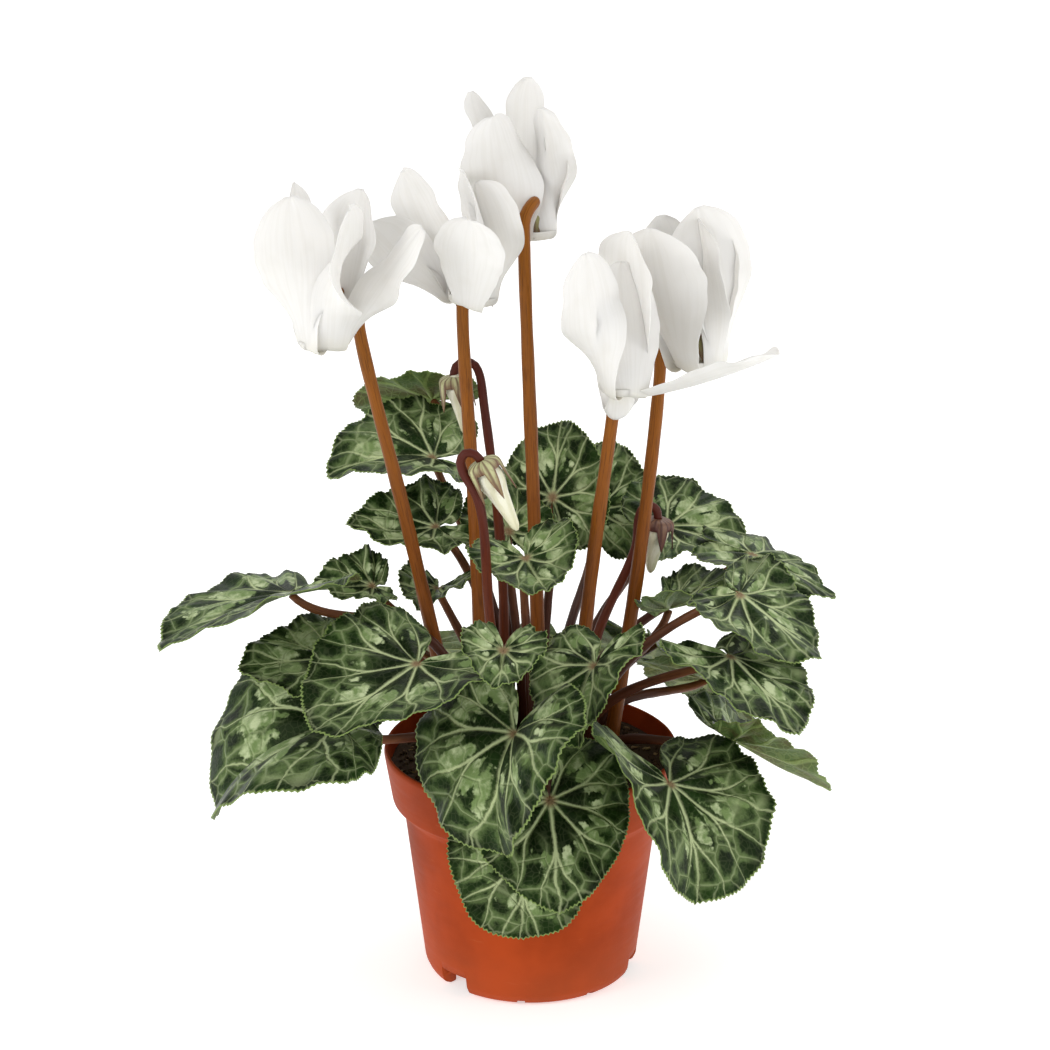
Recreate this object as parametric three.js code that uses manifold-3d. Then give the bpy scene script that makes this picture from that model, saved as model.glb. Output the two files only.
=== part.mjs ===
// Potted cyclamen: a moulded nursery pot filled with soil, a corm set in the soil, and
// on the corm the leaves, the open flowers and the nodding buds of one plant.
// Millimetres, +Z up. The origin is on the pot's axis, in the plane that it stands on.
import * as THREE from "three";
import { mergeVertices } from "three/addons/utils/BufferGeometryUtils.js";
import Module from "manifold-3d";

const wasm = await Module();
wasm.setup();

// ---------------------------------------------------------------- driving dimensions
const GAP = 0.3; // running gap between neighbouring solids
const POT = {
  rimRadius: 52.5,
  height: 85,
  bandHeight: 19,
  bandRadius: 49.6, // outside, at the foot of the rim band
  shoulderRadius: 45.6, // outside, just under the band
  wallFootRadius: 38.8,
  footRadius: 34.8,
  corner: 4, // height of the rounded lower edge
  wall: 1.3,
  floor: 1.6,
  footWidth: 2.6,
  recess: 3.6, // how far the floor stands above the foot ring and the centre pad
  padRadius: 9,
  sides: 30,
  drains: 3,
  drainWidth: 10.5,
  drainHeight: 4.9,
  drainAngle: -137,
  nickWidth: 3,
  nickHeight: 1.6,
};
const SOIL = { level: 78.5, rings: 5, bump: 1.1 };
const CORM = { x: 2, y: 0, radius: 29, crown: 82, dome: 2.4, depth: 22, sides: 18 };
const BLADE = { thickness: 0.8, sinus: 168, teeth: 9, toothDepth: 0.035, halfWidth: 0.75 };
const PETIOLE = { rootRadius: 2.1, tipRadius: 1.4, sides: 5, steps: 5 };
const PEDUNCLE = { rootRadius: 2.6, tipRadius: 2.1, sides: 6, steps: 9 };
const BUD_STALK = { rootRadius: 2.0, tipRadius: 1.5, sides: 5, steps: 9 };
const PETAL = { thickness: 0.8, turnLength: 5, columns: 4, baseRadius: 4.5, skew: 16 };
const TUBE = { length: 9, radius: 5.2, wall: 1.1, sides: 6 };
const STYLE = { radius: 0.7, length: 11.5 };
const CALYX = { lobes: 5, length: 7.5, width: 4.6, thickness: 0.9, cap: 1.4 };
const BUD = { sides: 8 };

const COLOURS = {
  pot: "#bf5230",
  soil: "#3a2a20",
  corm: "#5d4030",
  leaf: "#48663f",
  stalk: "#9a5a2c",
  budStalk: "#6d3424",
  petal: "#f4f3ee",
  bud: "#efecd6",
};

// Leaf outline: distance from the petiole's joint to the margin, as a share of the
// length from that joint to the tip, at angles off the midrib.
const OUTLINE = [
  [0, 1.0],
  [14, 0.92],
  [38, 0.81],
  [72, 0.76],
  [105, 0.79],
  [132, 0.8],
  [150, 0.7],
  [162, 0.5],
  [168, 0.3],
];

// Petal outline: half width as a share of the greatest one, along the petal.
const PETAL_OUTLINE = [
  [0, 0.38],
  [0.1, 0.43],
  [0.28, 0.62],
  [0.5, 0.9],
  [0.68, 1],
  [0.86, 0.82],
  [0.95, 0.52],
  [1, 0.14],
];
const PETAL_STATIONS = [0, 0.07, 0.28, 0.58, 0.8, 0.94, 1];

// Calyx lobe outline: half width as a share of the greatest one, along the lobe.
const CALYX_OUTLINE = [
  [0, 1],
  [1, 0.15],
];

// Bud outline: radius as a share of the greatest one, along the bud from its base.
const BUD_OUTLINE = [
  [0, 0.45],
  [0.12, 0.92],
  [0.26, 1.0],
  [0.45, 0.74],
  [0.7, 0.52],
  [0.93, 0.32],
  [1, 0.12],
];

// Each leaf: the joint of petiole and blade, the compass heading of the tip, the dip of
// the midrib, the roll about it (left side up), and the length from joint to tip.
// droop bends the tip down, lobes bends the lobes down, fold slopes both halves from the
// midrib, curl adds slope towards the margin, wide widens the blade and back lengthens
// its lobes. root is where the petiole stands on the corm, as [distance from its middle,
// heading]; rise and neck are how long it keeps upright and how long its top is, as
// shares of its span, unless via gives points that it passes through.
const LEAVES = [
  {
    name: "leaf_front_centre", joint: [-5, -63, 115], heading: -132, dip: 41, roll: 12,
    length: 43, wide: 1.2, droop: 70, lobes: 4, fold: -32, curl: 31, back: 0.68,
    root: [25.5, -96],
  },
  {
    name: "leaf_front_under", joint: [6, -59, 89], heading: -80, dip: 50, roll: 0, length: 38,
    droop: 20, lobes: 14, fold: 0, curl: 24, root: [25.5, -70], rise: 0.7,
  },
  {
    name: "leaf_front_low", joint: [-3, -62, 71], heading: -88, dip: 68, roll: 0, length: 30,
    wide: 1.1, droop: 4, lobes: 8, fold: 4, curl: 8, root: [25.5, -84],
    via: [[0, -38, 92], [-7, -53, 92], [-5, -60, 82]],
  },
  {
    name: "leaf_right_front", joint: [48, -53, 92], heading: -60, dip: 27, roll: -23,
    length: 45, wide: 1.14, back: 0.82, droop: 46, lobes: 20, fold: -6, curl: -18,
    root: [25.5, -49],
  },
  {
    name: "leaf_left_low", joint: [-64, -47, 111], heading: -174, dip: 4, roll: -10,
    length: 56, wide: 1.15, back: 0.38, droop: 72, lobes: 12, fold: -36, curl: 42,
    root: [25.5, -137],
  },
  {
    name: "leaf_left_front", joint: [-38, -56, 138], heading: -140, dip: 16, roll: -2,
    length: 45, wide: 1.08, back: 0.58, droop: 0, lobes: 2, fold: -5, curl: -12,
    root: [19, -141], rise: 0.75,
  },
  {
    name: "leaf_left_middle", joint: [-68, -28, 129], heading: -171, dip: -4, roll: -14,
    length: 33, back: 0.52, droop: 13, lobes: 16, fold: -6, curl: 6,
    via: [[-40, -20, 126], [-54, -26, 131]], root: [25.5, -148],
  },
  {
    name: "leaf_centre_small", joint: [-9, -72, 148], heading: -95, dip: 16, roll: -4,
    length: 19, droop: 6, lobes: 2, fold: -24, curl: 14, root: [19, -91], rise: 1, neck: 0.25,
  },
  {
    name: "leaf_centre_dark", joint: [22, -38, 130], heading: -124, dip: 28, roll: 18,
    length: 30, wide: 1.05, back: 0.8, droop: 54, lobes: 0, fold: -32, curl: 32,
    root: [19, -68],
  },
  {
    name: "leaf_right_mid", joint: [68, -34, 132], heading: -47, dip: 18, roll: -12,
    length: 38, wide: 1.06, back: 0.62, droop: 20, lobes: 26, fold: 7, curl: -20,
    root: [19, -38],
  },
  {
    name: "leaf_right_low", joint: [71, -17, 95], heading: 8, dip: 30, roll: -12, length: 42,
    back: 0.56, droop: 6, lobes: 12, fold: -12, curl: -12, root: [25.5, -20],
  },
  {
    name: "leaf_right_upper", joint: [72, -12, 147], heading: -26, dip: 26, roll: 0,
    length: 36, wide: 1.2, back: 0.5, droop: 10, lobes: 9, fold: 16, curl: -34,
    root: [19, -20],
  },
  {
    name: "leaf_right_inner", joint: [50, 15, 131], heading: -14, dip: -24, roll: -7,
    length: 32, wide: 1.05, back: 0.26, droop: 10, lobes: 13, fold: -17, curl: -8,
    root: [19, 20],
  },
  {
    name: "leaf_right_far", joint: [81, 36, 144], heading: -12, dip: 15, roll: -4, length: 34,
    droop: 21, lobes: 10, fold: -2, curl: 7, root: [19, 41],
  },
  {
    name: "leaf_right_back", joint: [51, 65, 145], heading: 4, dip: -9, roll: 17, length: 32,
    wide: 1.08, back: 0.75, droop: 36, lobes: 10, fold: -12, curl: 0, root: [19, 55],
  },
  {
    name: "leaf_back_right", joint: [25, 87, 145], heading: 74, dip: -56, roll: 0, length: 30,
    wide: 1.0, droop: 14, lobes: 4, fold: -8, curl: 8, root: [19, 71],
  },
  {
    name: "leaf_back_centre", joint: [8, 50, 162], heading: 78, dip: -60, roll: 0, length: 31,
    wide: 0.9, droop: 14, lobes: 4, fold: -8, curl: 8, root: [19, 87],
  },
  {
    name: "leaf_back_inner", joint: [-8, 34, 154], heading: 112, dip: -40, roll: 0, length: 24,
    droop: 20, lobes: 4, fold: -12, curl: 10, root: [16, 106],
  },
  {
    name: "leaf_centre", joint: [-2, -16, 161], heading: -71, dip: 16, roll: 12, length: 26,
    wide: 1, back: 0.8, droop: -14, lobes: 2, fold: -22, curl: 6, root: [8, -100],
  },
  {
    name: "leaf_left_inner", joint: [-56, 6, 143], heading: -165, dip: -7, roll: -16,
    length: 22, back: 0.5, droop: 0, lobes: 0, fold: -13, curl: -12, root: [19, 162],
  },
  {
    name: "leaf_inner_left", joint: [-33, 17, 138], heading: -110, dip: 0, roll: 0, length: 20,
    back: 0.6, droop: 4, lobes: 0, fold: -24, curl: -8, root: [19, 147],
  },
  {
    name: "leaf_left_far", joint: [-83, -13, 147], heading: -146, dip: 0, roll: 15, length: 53,
    wide: 0.92, back: 0.45, droop: 22, lobes: 5, fold: -9, curl: 2, rise: 0.85,
    root: [25.5, -159],
  },
  {
    name: "leaf_left_upper", joint: [-34, 22, 160], heading: -168, dip: 4, roll: -14,
    length: 33, wide: 0.95, back: 0.6, droop: -22, lobes: 2, fold: -17, curl: 5,
    root: [19, 132.5],
  },
  {
    name: "leaf_left_top", joint: [-36, 46, 178], heading: -167, dip: -16, roll: -11,
    length: 40, wide: 1.06, back: 0.65, droop: 47, lobes: 10, fold: -18, curl: 4,
    root: [19, 118],
  },
  {
    name: "leaf_left_behind", joint: [-37, 81, 190], heading: 179, dip: -5, roll: 55,
    length: 30, droop: 9, lobes: 10, fold: 8, curl: 11, rise: 0.2, neck: 0.5,
    root: [25.5, 114],
  },
  {
    name: "leaf_rear_left", joint: [-44, 62, 99], heading: 130, dip: 34, roll: 0, length: 36,
    droop: 24, lobes: 12, fold: 8, curl: 14, root: [25.5, 132],
  },
  {
    name: "leaf_rear", joint: [11, 75, 97], heading: 84, dip: 44, roll: 0, length: 38,
    droop: 20, lobes: 12, fold: 8, curl: 16, root: [25.5, 90],
  },
  {
    name: "leaf_rear_right", joint: [49, 62, 101], heading: 48, dip: 36, roll: 0, length: 37,
    droop: 20, lobes: 12, fold: 8, curl: 14, root: [25.5, 53],
  },
  {
    name: "leaf_rear_low_left", joint: [-68, 7, 98], heading: 184, dip: 34, roll: 0,
    length: 38, droop: 26, lobes: 12, fold: 8, curl: 14, root: [25.5, 160],
  },
  {
    name: "leaf_rear_low_right", joint: [66, 42, 93], heading: 41, dip: 40, roll: 0,
    length: 34, droop: 20, lobes: 12, fold: 8, curl: 14, root: [25.5, 30],
  },
];

// Each open flower: the middle of its mouth, the lean of its tube and the heading it
// leans to, the side on which its stalk stands and how far off, where the stalk leaves
// the corm, and its petals as [heading, length, width, spread from the tube, flare at
// the tip, twist, cup].
const FLOWERS = [
  {
    name: "flower_left", mouth: [-70, -14, 236.5], lean: 4, towards: 180, side: 88,
    reach: 18, root: [27, 177], swing: -41, bow: -5.5,
    petals: [
      [-126, 56, 27, 4, -6, -66, 0.08],
      [-70, 63, 17, 23, 11, 126, 0.1],
      [43, 55, 31, 18, -2, -12, 0.27],
      [-31, 60, 16, 35, 10, 108, 0.26],
      [130, 58, 21, 0, -1, -44, 0.16],
    ],
  },
  {
    name: "flower_middle", mouth: [-20, -8, 250], lean: 6, towards: 0, side: 92,
    reach: 12, root: [19, -172], swing: 14,
    petals: [
      [-99, 39, 25, 27, -9, -3, 0.1],
      [160, 42, 22, 58, -4, 30, 0.3],
      [-12, 46, 21, 2, -34, 100, 0.3],
      [131, 54, 19, 39, 9, 67, 0.28],
      [49, 53, 27, -6, -34, 16, 0.16],
    ],
  },
  {
    name: "flower_top", mouth: [0.5, 26, 265], lean: 2, towards: 90, side: -78,
    reach: 16, root: [5, 60], swing: -20, crest: 5,
    petals: [
      [-131, 49, 28, 14, 3, -99, 0.44],
      [-27, 48, 19, -5, -4, 96, 0.5],
      [152, 55, 21, 19, -1, -21, 0.05],
      [94, 57, 24, 1, 4, 41, 0.25],
      [40, 41, 25, 6, -3, -5, 0.19],
    ],
  },
  {
    name: "flower_right_front", mouth: [30.5, -16, 222], lean: 4, towards: -90, side: 84,
    reach: 18, root: [12.5, -15], swing: 10,
    petals: [
      [-133, 57, 23, 15, -5, -94, 0.11],
      [-71, 49, 26, -3, -23, -35, 0.05],
      [-25, 56, 24, 72, -13, -5, 0.36],
      [50, 58, 31, -3, -5, 1, 0.27],
      [92, 68, 20, 7, 15, 27, 0.05, 15],
    ],
  },
  {
    name: "flower_right", mouth: [58, 14, 222], lean: 2, towards: 180, side: 108,
    reach: 15, root: [25.5, -2], swing: 42, bow: 3,
    petals: [
      [-128, 61, 32, 29, -20, -25, 0.23],
      [-57, 57, 14, 12, -39, 84, 0.05],
      [-15, 60, 28, 2, -19, 51, 0.05],
      [62, 55, 30, 7, -2, 7, 0.06],
      [152, 56, 30, 11, -9, 3, 0.05],
    ],
  },
];

// Each nodding bud, in the same way: mouth is here the middle of the bud's base.
const BUDS = [
  {
    name: "bud_front", mouth: [-16, -42, 203], lean: 26, towards: 180, side: 180, reach: 7,
    crest: 5, length: 26, radius: 4.8, root: [19, -112],
  },
  {
    name: "bud_back", mouth: [-26, 14, 218], lean: 8, towards: 180, side: 0, reach: 9,
    crest: 5, length: 22, radius: 4.6, root: [12.5, 150], bow: 5,
  },
  {
    name: "bud_right", mouth: [45, 22, 162], lean: 6, towards: 0, side: 180, reach: 7,
    crest: 5, length: 20, radius: 4.8, root: [12.5, 25], bow: -3,
  },
];

// ---------------------------------------------------------------- small helpers
const radians = THREE.MathUtils.degToRad;
const vector = (p) => new THREE.Vector3(...p);

// Value at x of the smooth curve through [x, value] points.
function alongCurve(points, x) {
  let i = 0;
  while (i < points.length - 2 && x > points[i + 1][0]) i += 1;
  const [before, a, b, after] = [-1, 0, 1, 2].map(
    (k) => points[Math.min(Math.max(i + k, 0), points.length - 1)],
  );
  const span = b[0] - a[0];
  const slopeA = a === before ? (b[1] - a[1]) / span : (b[1] - before[1]) / (b[0] - before[0]);
  const slopeB = b === after ? (b[1] - a[1]) / span : (after[1] - a[1]) / (after[0] - a[0]);
  const t = THREE.MathUtils.clamp((x - a[0]) / span, 0, 1);
  return (
    (2 * t ** 3 - 3 * t ** 2 + 1) * a[1] +
    (t ** 3 - 2 * t ** 2 + t) * slopeA * span +
    (3 * t ** 2 - 2 * t ** 3) * b[1] +
    (t ** 3 - t ** 2) * slopeB * span
  );
}

// A manifold solid from a closed three.js geometry.
function solidOf(geometry) {
  const bare = geometry.clone();
  bare.deleteAttribute("normal");
  bare.deleteAttribute("uv");
  const merged = mergeVertices(bare, 1e-4);
  return new wasm.Manifold(
    new wasm.Mesh({
      numProp: 3,
      vertProperties: merged.getAttribute("position").array,
      triVerts: new Uint32Array(merged.index.array),
    }),
  );
}

// A closed geometry from a list of points and a list of corner triples.
function geometryOf(points, faces) {
  const positions = new Float32Array(points.flatMap((p) => [p.x, p.y, p.z]));
  return new THREE.BufferGeometry()
    .setAttribute("position", new THREE.BufferAttribute(positions, 3))
    .setIndex(faces.flat());
}

// A named mesh from a manifold solid.
function nodeOf(name, solid, colour, roughness) {
  const { numProp, numVert, vertProperties, triVerts } = solid.getMesh();
  const positions = new Float32Array(numVert * 3);
  for (let i = 0; i < numVert; i += 1)
    positions.set(vertProperties.subarray(i * numProp, i * numProp + 3), i * 3);
  const geometry = new THREE.BufferGeometry()
    .setAttribute("position", new THREE.BufferAttribute(positions, 3))
    .setIndex(new THREE.BufferAttribute(triVerts, 1));
  geometry.computeVertexNormals();
  const material = new THREE.MeshStandardMaterial({ color: colour, roughness, metalness: 0 });
  const mesh = new THREE.Mesh(geometry, material);
  mesh.name = name;
  return mesh;
}

// A thin closed sheet from rows of surface points: each row is a line of {at, normal}.
// zip says how two neighbouring rows are joined, so both faces get the same triangles.
function sheetSolid(rows, thickness, zip) {
  const points = rows.flat();
  const starts = rows.map((_, r) => rows.slice(0, r).reduce((n, row) => n + row.length, 0));
  const half = thickness / 2;
  const upper = points.map(({ at, normal }) => at.clone().addScaledVector(normal, half));
  const lower = points.map(({ at, normal }) => at.clone().addScaledVector(normal, -half));
  const faces = [];
  for (let r = 0; r + 1 < rows.length; r += 1)
    faces.push(...zip(starts[r], rows[r].length, starts[r + 1], rows[r + 1].length));
  const edges = new Map();
  for (const [a, b, c] of faces)
    for (const [from, to] of [[a, b], [b, c], [c, a]]) edges.set(`${from}_${to}`, [from, to]);
  const shift = points.length;
  const all = faces.flatMap(([a, b, c]) => [[a, b, c], [c + shift, b + shift, a + shift]]);
  for (const [from, to] of edges.values()) {
    if (edges.has(`${to}_${from}`)) continue;
    all.push([to, from, from + shift], [to, from + shift, to + shift]);
  }
  return solidOf(geometryOf([...upper, ...lower], all));
}

// Joins two rows of points with triangles, whatever their counts.
function zipRows(start, count, nextStart, nextCount) {
  const faces = [];
  let i = 0;
  let j = 0;
  while (i < count - 1 || j < nextCount - 1) {
    const innerAhead = (i + 1) / Math.max(count - 1, 1);
    const outerAhead = (j + 1) / Math.max(nextCount - 1, 1);
    if (j < nextCount - 1 && (i >= count - 1 || outerAhead <= innerAhead + 1e-9)) {
      faces.push([start + i, nextStart + j, nextStart + j + 1]);
      j += 1;
    } else {
      faces.push([start + i, nextStart + j, start + i + 1]);
      i += 1;
    }
  }
  return faces;
}

// A tapered round stalk along a curve, with flat ends.
function stalkSolid(curve, steps, sides, rootRadius, tipRadius) {
  const points = [];
  const faces = [];
  const frames = curve.computeFrenetFrames(steps, false);
  for (let s = 0; s <= steps; s += 1) {
    const centre = curve.getPointAt(s / steps);
    const radius = THREE.MathUtils.lerp(rootRadius, tipRadius, s / steps);
    for (let k = 0; k < sides; k += 1) {
      const turn = (2 * Math.PI * k) / sides;
      points.push(
        centre
          .clone()
          .addScaledVector(frames.normals[s], radius * Math.cos(turn))
          .addScaledVector(frames.binormals[s], radius * Math.sin(turn)),
      );
    }
  }
  const ring = (s, k) => s * sides + (k % sides);
  for (let s = 0; s < steps; s += 1)
    for (let k = 0; k < sides; k += 1)
      faces.push(
        [ring(s, k), ring(s, k + 1), ring(s + 1, k + 1)],
        [ring(s, k), ring(s + 1, k + 1), ring(s + 1, k)],
      );
  for (let k = 1; k + 1 < sides; k += 1)
    faces.push(
      [ring(0, 0), ring(0, k + 1), ring(0, k)],
      [ring(steps, 0), ring(steps, k), ring(steps, k + 1)],
    );
  return solidOf(geometryOf(points, faces));
}

// ---------------------------------------------------------------- the leaf
// How far a sheet that slopes from `start`, and by `more` at `reach`, goes out and down.
function bentReach(distance, start, more, reach) {
  const rate = more / reach;
  if (Math.abs(rate) < 1e-6)
    return { out: distance * Math.cos(start), down: distance * Math.sin(start) };
  const end = start + rate * distance;
  return {
    out: (Math.sin(end) - Math.sin(start)) / rate,
    down: (Math.cos(start) - Math.cos(end)) / rate,
  };
}

// The frame of a leaf: x to the tip, y to its left, z out of its upper face.
function leafMatrix({ joint, heading, dip, roll }) {
  const turn = new THREE.Euler(radians(roll), radians(dip), radians(heading), "ZYX");
  return new THREE.Matrix4().makeRotationFromEuler(turn).setPosition(...joint);
}

// The point of the blade at flat coordinates (x, y), where (0, 0) is the petiole's joint.
function bladePoint(leaf, x, y) {
  const bend = radians(x >= 0 ? leaf.droop : leaf.lobes) / leaf.length;
  const slope = bend * x;
  const rib = bentReach(x, 0, bend * leaf.length, leaf.length);
  const side = bentReach(
    Math.abs(y), radians(leaf.fold), radians(leaf.curl), BLADE.halfWidth * leaf.length,
  );
  const wave =
    (leaf.wave ?? 0) *
    Math.sin(3 * Math.atan2(y, x) + radians(leaf.phase ?? 0)) *
    (Math.hypot(x, y) / leaf.length) ** 2;
  const lift = wave - side.down;
  return new THREE.Vector3(
    rib.out + Math.sin(slope) * lift,
    Math.sign(y) * side.out,
    -rib.down + Math.cos(slope) * lift,
  );
}

function bladeSample(leaf, x, y, matrix) {
  const step = leaf.length / 50;
  const at = bladePoint(leaf, x, y);
  const along = bladePoint(leaf, x + step, y).sub(bladePoint(leaf, x - step, y));
  const across = bladePoint(leaf, x, y + step).sub(bladePoint(leaf, x, y - step));
  const normal = along.cross(across).normalize();
  return { at: at.applyMatrix4(matrix), normal: normal.transformDirection(matrix) };
}

function bladeSolid(leaf) {
  const matrix = leafMatrix(leaf);
  const share = [0.3, 0.68, 1];
  const counts = [Math.round(BLADE.teeth / 2), BLADE.teeth + 1, 2 * BLADE.teeth + 1];
  const rows = [[bladeSample(leaf, 0, 0, matrix)]];
  share.forEach((part, ring) => {
    const row = [];
    for (let k = 0; k < counts[ring]; k += 1) {
      const angle = THREE.MathUtils.lerp(-BLADE.sinus, BLADE.sinus, k / (counts[ring] - 1));
      const notch = part === 1 && k % 2 === 1 ? 1 - BLADE.toothDepth : 1;
      const reach = leaf.length * part * notch * alongCurve(OUTLINE, Math.abs(angle));
      const along = reach * Math.cos(radians(angle));
      const across = reach * Math.sin(radians(angle)) * (leaf.wide ?? 1);
      row.push(bladeSample(leaf, along * (along < 0 ? leaf.back ?? 1 : 1), across, matrix));
    }
    rows.push(row);
  });
  return sheetSolid(rows, BLADE.thickness, zipRows);
}

// Height of the corm's top at a distance from its middle.
const cormTop = (radius) => CORM.crown - CORM.dome * (radius / CORM.radius) ** 2;

// Where a stalk leaves the corm: just clear of it, so that it stands on the corm.
function rootPoint([radius, heading], stalkRadius) {
  const angle = radians(heading);
  return new THREE.Vector3(
    CORM.x + radius * Math.cos(angle),
    CORM.y + radius * Math.sin(angle),
    cormTop(radius - stalkRadius) + GAP,
  );
}

// The petiole rises from the corm, leans out, and meets the blade from below.
function petioleCurve(leaf) {
  const joint = vector(leaf.joint);
  const root = rootPoint(leaf.root, PETIOLE.rootRadius);
  const matrix = leafMatrix(leaf);
  const forward = new THREE.Vector3(1, 0, 0).transformDirection(matrix);
  const upper = new THREE.Vector3(0, 0, 1).transformDirection(matrix);
  const arriving = forward.multiplyScalar(0.6).add(upper.multiplyScalar(0.8)).normalize();
  const span = root.distanceTo(joint);
  const end = joint.clone().addScaledVector(arriving, -0.6);
  if (leaf.via) {
    const rising = root.clone().add(new THREE.Vector3(0, 0, 3));
    const points = [root, rising, ...leaf.via.map(vector), end];
    return new THREE.CatmullRomCurve3(points, false, "centripetal");
  }
  return new THREE.CubicBezierCurve3(
    root,
    root.clone().add(new THREE.Vector3(0, 0, span * (leaf.rise ?? 0.45))),
    end.clone().addScaledVector(arriving, -span * (leaf.neck ?? 0.3)),
    end,
  );
}

function leafNode(leaf) {
  const petiole = stalkSolid(
    petioleCurve(leaf), PETIOLE.steps, PETIOLE.sides, PETIOLE.rootRadius, PETIOLE.tipRadius,
  );
  return nodeOf(leaf.name, bladeSolid(leaf).add(petiole), COLOURS.leaf, 0.5);
}

// ---------------------------------------------------------------- flowers and buds
// A solid turned about the z axis: [radius, height] points, up the outside and, for a
// hollow one, back down the inside, starting and ending on the axis. lift adds a height
// to each point.
function turnedSolid(profile, sides, lift = () => 0) {
  const points = [];
  const rings = profile.map(([radius, height]) => {
    const ring = [];
    const count = radius < 1e-6 ? 1 : sides;
    for (let k = 0; k < count; k += 1) {
      const turn = (2 * Math.PI * k) / sides;
      ring.push(points.length);
      const [x, y] = [radius * Math.cos(turn), radius * Math.sin(turn)];
      points.push(new THREE.Vector3(x, y, height + lift(x, y, height)));
    }
    return ring;
  });
  const faces = [];
  for (let r = 0; r + 1 < rings.length; r += 1) {
    const [low, high] = [rings[r], rings[r + 1]];
    for (let k = 0; k < sides; k += 1) {
      const [a, b] = [low[k % low.length], low[(k + 1) % low.length]];
      const [c, d] = [high[(k + 1) % high.length], high[k % high.length]];
      if (low.length > 1) faces.push([a, b, c]);
      if (high.length > 1) faces.push([a, c, d]);
    }
  }
  return solidOf(geometryOf(points, faces));
}

// The frame of a flower or bud: z up its tube, x kept to the east.
function flowerMatrix({ mouth, lean, towards }) {
  const turn = new THREE.Matrix4().makeRotationZ(radians(towards));
  const tilt = new THREE.Matrix4().makeRotationY(radians(lean));
  const back = new THREE.Matrix4().makeRotationZ(radians(-towards));
  return turn.multiply(tilt).multiply(back).setPosition(...mouth);
}

// A point of a petal, `along` from 0 at the mouth to 1 at the tip, `across` -1 to 1.
function petalPoint(petal, along, across) {
  const [heading, length, width, spread, flare, twist, cup, drop = 0] = petal;
  let [out, up] = [PETAL.baseRadius, 0];
  let course = radians(20);
  const steps = 48;
  const turned = drop + PETAL.turnLength;
  for (let i = 0; i < Math.round(along * steps); i += 1) {
    const run = ((i + 0.5) / steps) * length;
    const first = THREE.MathUtils.clamp((run - drop) / PETAL.turnLength, 0, 1);
    const later = Math.max((run - turned) / (length - turned), 0);
    course = radians(20 + (160 - spread) * first - flare * later);
    out += (Math.sin(course) * length) / steps;
    up -= (Math.cos(course) * length) / steps;
  }
  const half = (width / 2) * alongCurve(PETAL_OUTLINE, along);
  const turn = radians(PETAL.skew + twist * THREE.MathUtils.smoothstep(along, 0.16, 0.7));
  const normalOut = -Math.cos(course);
  const normalUp = -Math.sin(course);
  const bulge = -cup * half * across * across;
  const sideways = half * across * Math.cos(turn) - bulge * Math.sin(turn);
  const raised = half * across * Math.sin(turn) + bulge * Math.cos(turn);
  const point = new THREE.Vector3(out + raised * normalOut, sideways, up + raised * normalUp);
  return point.applyAxisAngle(new THREE.Vector3(0, 0, 1), radians(heading));
}

function petalSolid(petal) {
  const rows = PETAL_STATIONS.map((along) => {
    const row = [];
    for (let k = 0; k < PETAL.columns; k += 1) {
      const across = -1 + (2 * k) / (PETAL.columns - 1);
      const [before, after] = [Math.max(along - 0.03, 0), Math.min(along + 0.03, 1)];
      const lengthwise = petalPoint(petal, after, across).sub(petalPoint(petal, before, across));
      const crosswise = petalPoint(petal, along, across + 0.05).sub(
        petalPoint(petal, along, across - 0.05),
      );
      const normal = crosswise.cross(lengthwise).normalize().negate();
      row.push({ at: petalPoint(petal, along, across), normal });
    }
    return row;
  });
  return sheetSolid(rows, PETAL.thickness, zipRows);
}

// The corolla: a short tube, open downwards, with five petals bent back from its mouth.
function corollaSolid(flower) {
  const inner = TUBE.radius - TUBE.wall;
  const shell = turnedSolid(
    [
      [0, TUBE.length - TUBE.wall],
      [inner, TUBE.length - TUBE.wall],
      [inner, -1.2],
      [TUBE.radius, -1.2],
      [TUBE.radius, TUBE.length - 2],
      [TUBE.radius - 1, TUBE.length],
      [0, TUBE.length],
    ],
    TUBE.sides,
  );
  const style = turnedSolid(
    [
      [0, TUBE.length - 0.5 - STYLE.length],
      [STYLE.radius, TUBE.length - 0.5 - STYLE.length],
      [STYLE.radius, TUBE.length - 0.5],
      [0, TUBE.length - 0.5],
    ],
    5,
  );
  const reliefRadius = TUBE.radius + CALYX.thickness + 2.6 * GAP;
  const reliefTop = TUBE.length + CALYX.cap * 1.6 + 2.2 * GAP;
  const relief = turnedSolid(
    [
      [0, 1.3],
      [reliefRadius, 1.3],
      [reliefRadius, reliefTop],
      [0, reliefTop],
    ],
    8,
  );
  return flower.petals
    .map((petal) => petalSolid(petal).subtract(relief))
    .reduce((whole, petal) => whole.add(petal), shell.add(style));
}

// A calyx: a cap on the tube's closed end, and pointed lobes lying along the tube.
function calyxSolid(radius, top, length, width) {
  const { lobes, thickness, cap } = CALYX;
  const inner = radius + GAP;
  const parts = [
    turnedSolid(
      [
        [0, top + GAP],
        [inner + thickness, top + GAP],
        [inner * 0.6, top + GAP + cap * 1.6],
        [0, top + GAP + cap * 1.6],
      ],
      lobes,
    ),
  ];
  for (let k = 0; k < lobes; k += 1) {
    const rows = CALYX_OUTLINE.map(([along, share]) =>
      [-1, 1].map((across) => {
        const turn = (share * width * across) / (2 * inner) + (2 * Math.PI * k) / lobes;
        const normal = new THREE.Vector3(Math.cos(turn), Math.sin(turn), 0);
        const at = normal.clone().multiplyScalar(inner + thickness / 2);
        at.z = top + GAP + 0.5 - along * length;
        return { at, normal };
      }),
    );
    parts.push(sheetSolid(rows, thickness, zipRows));
  }
  return parts.reduce((whole, part) => whole.add(part));
}

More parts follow.
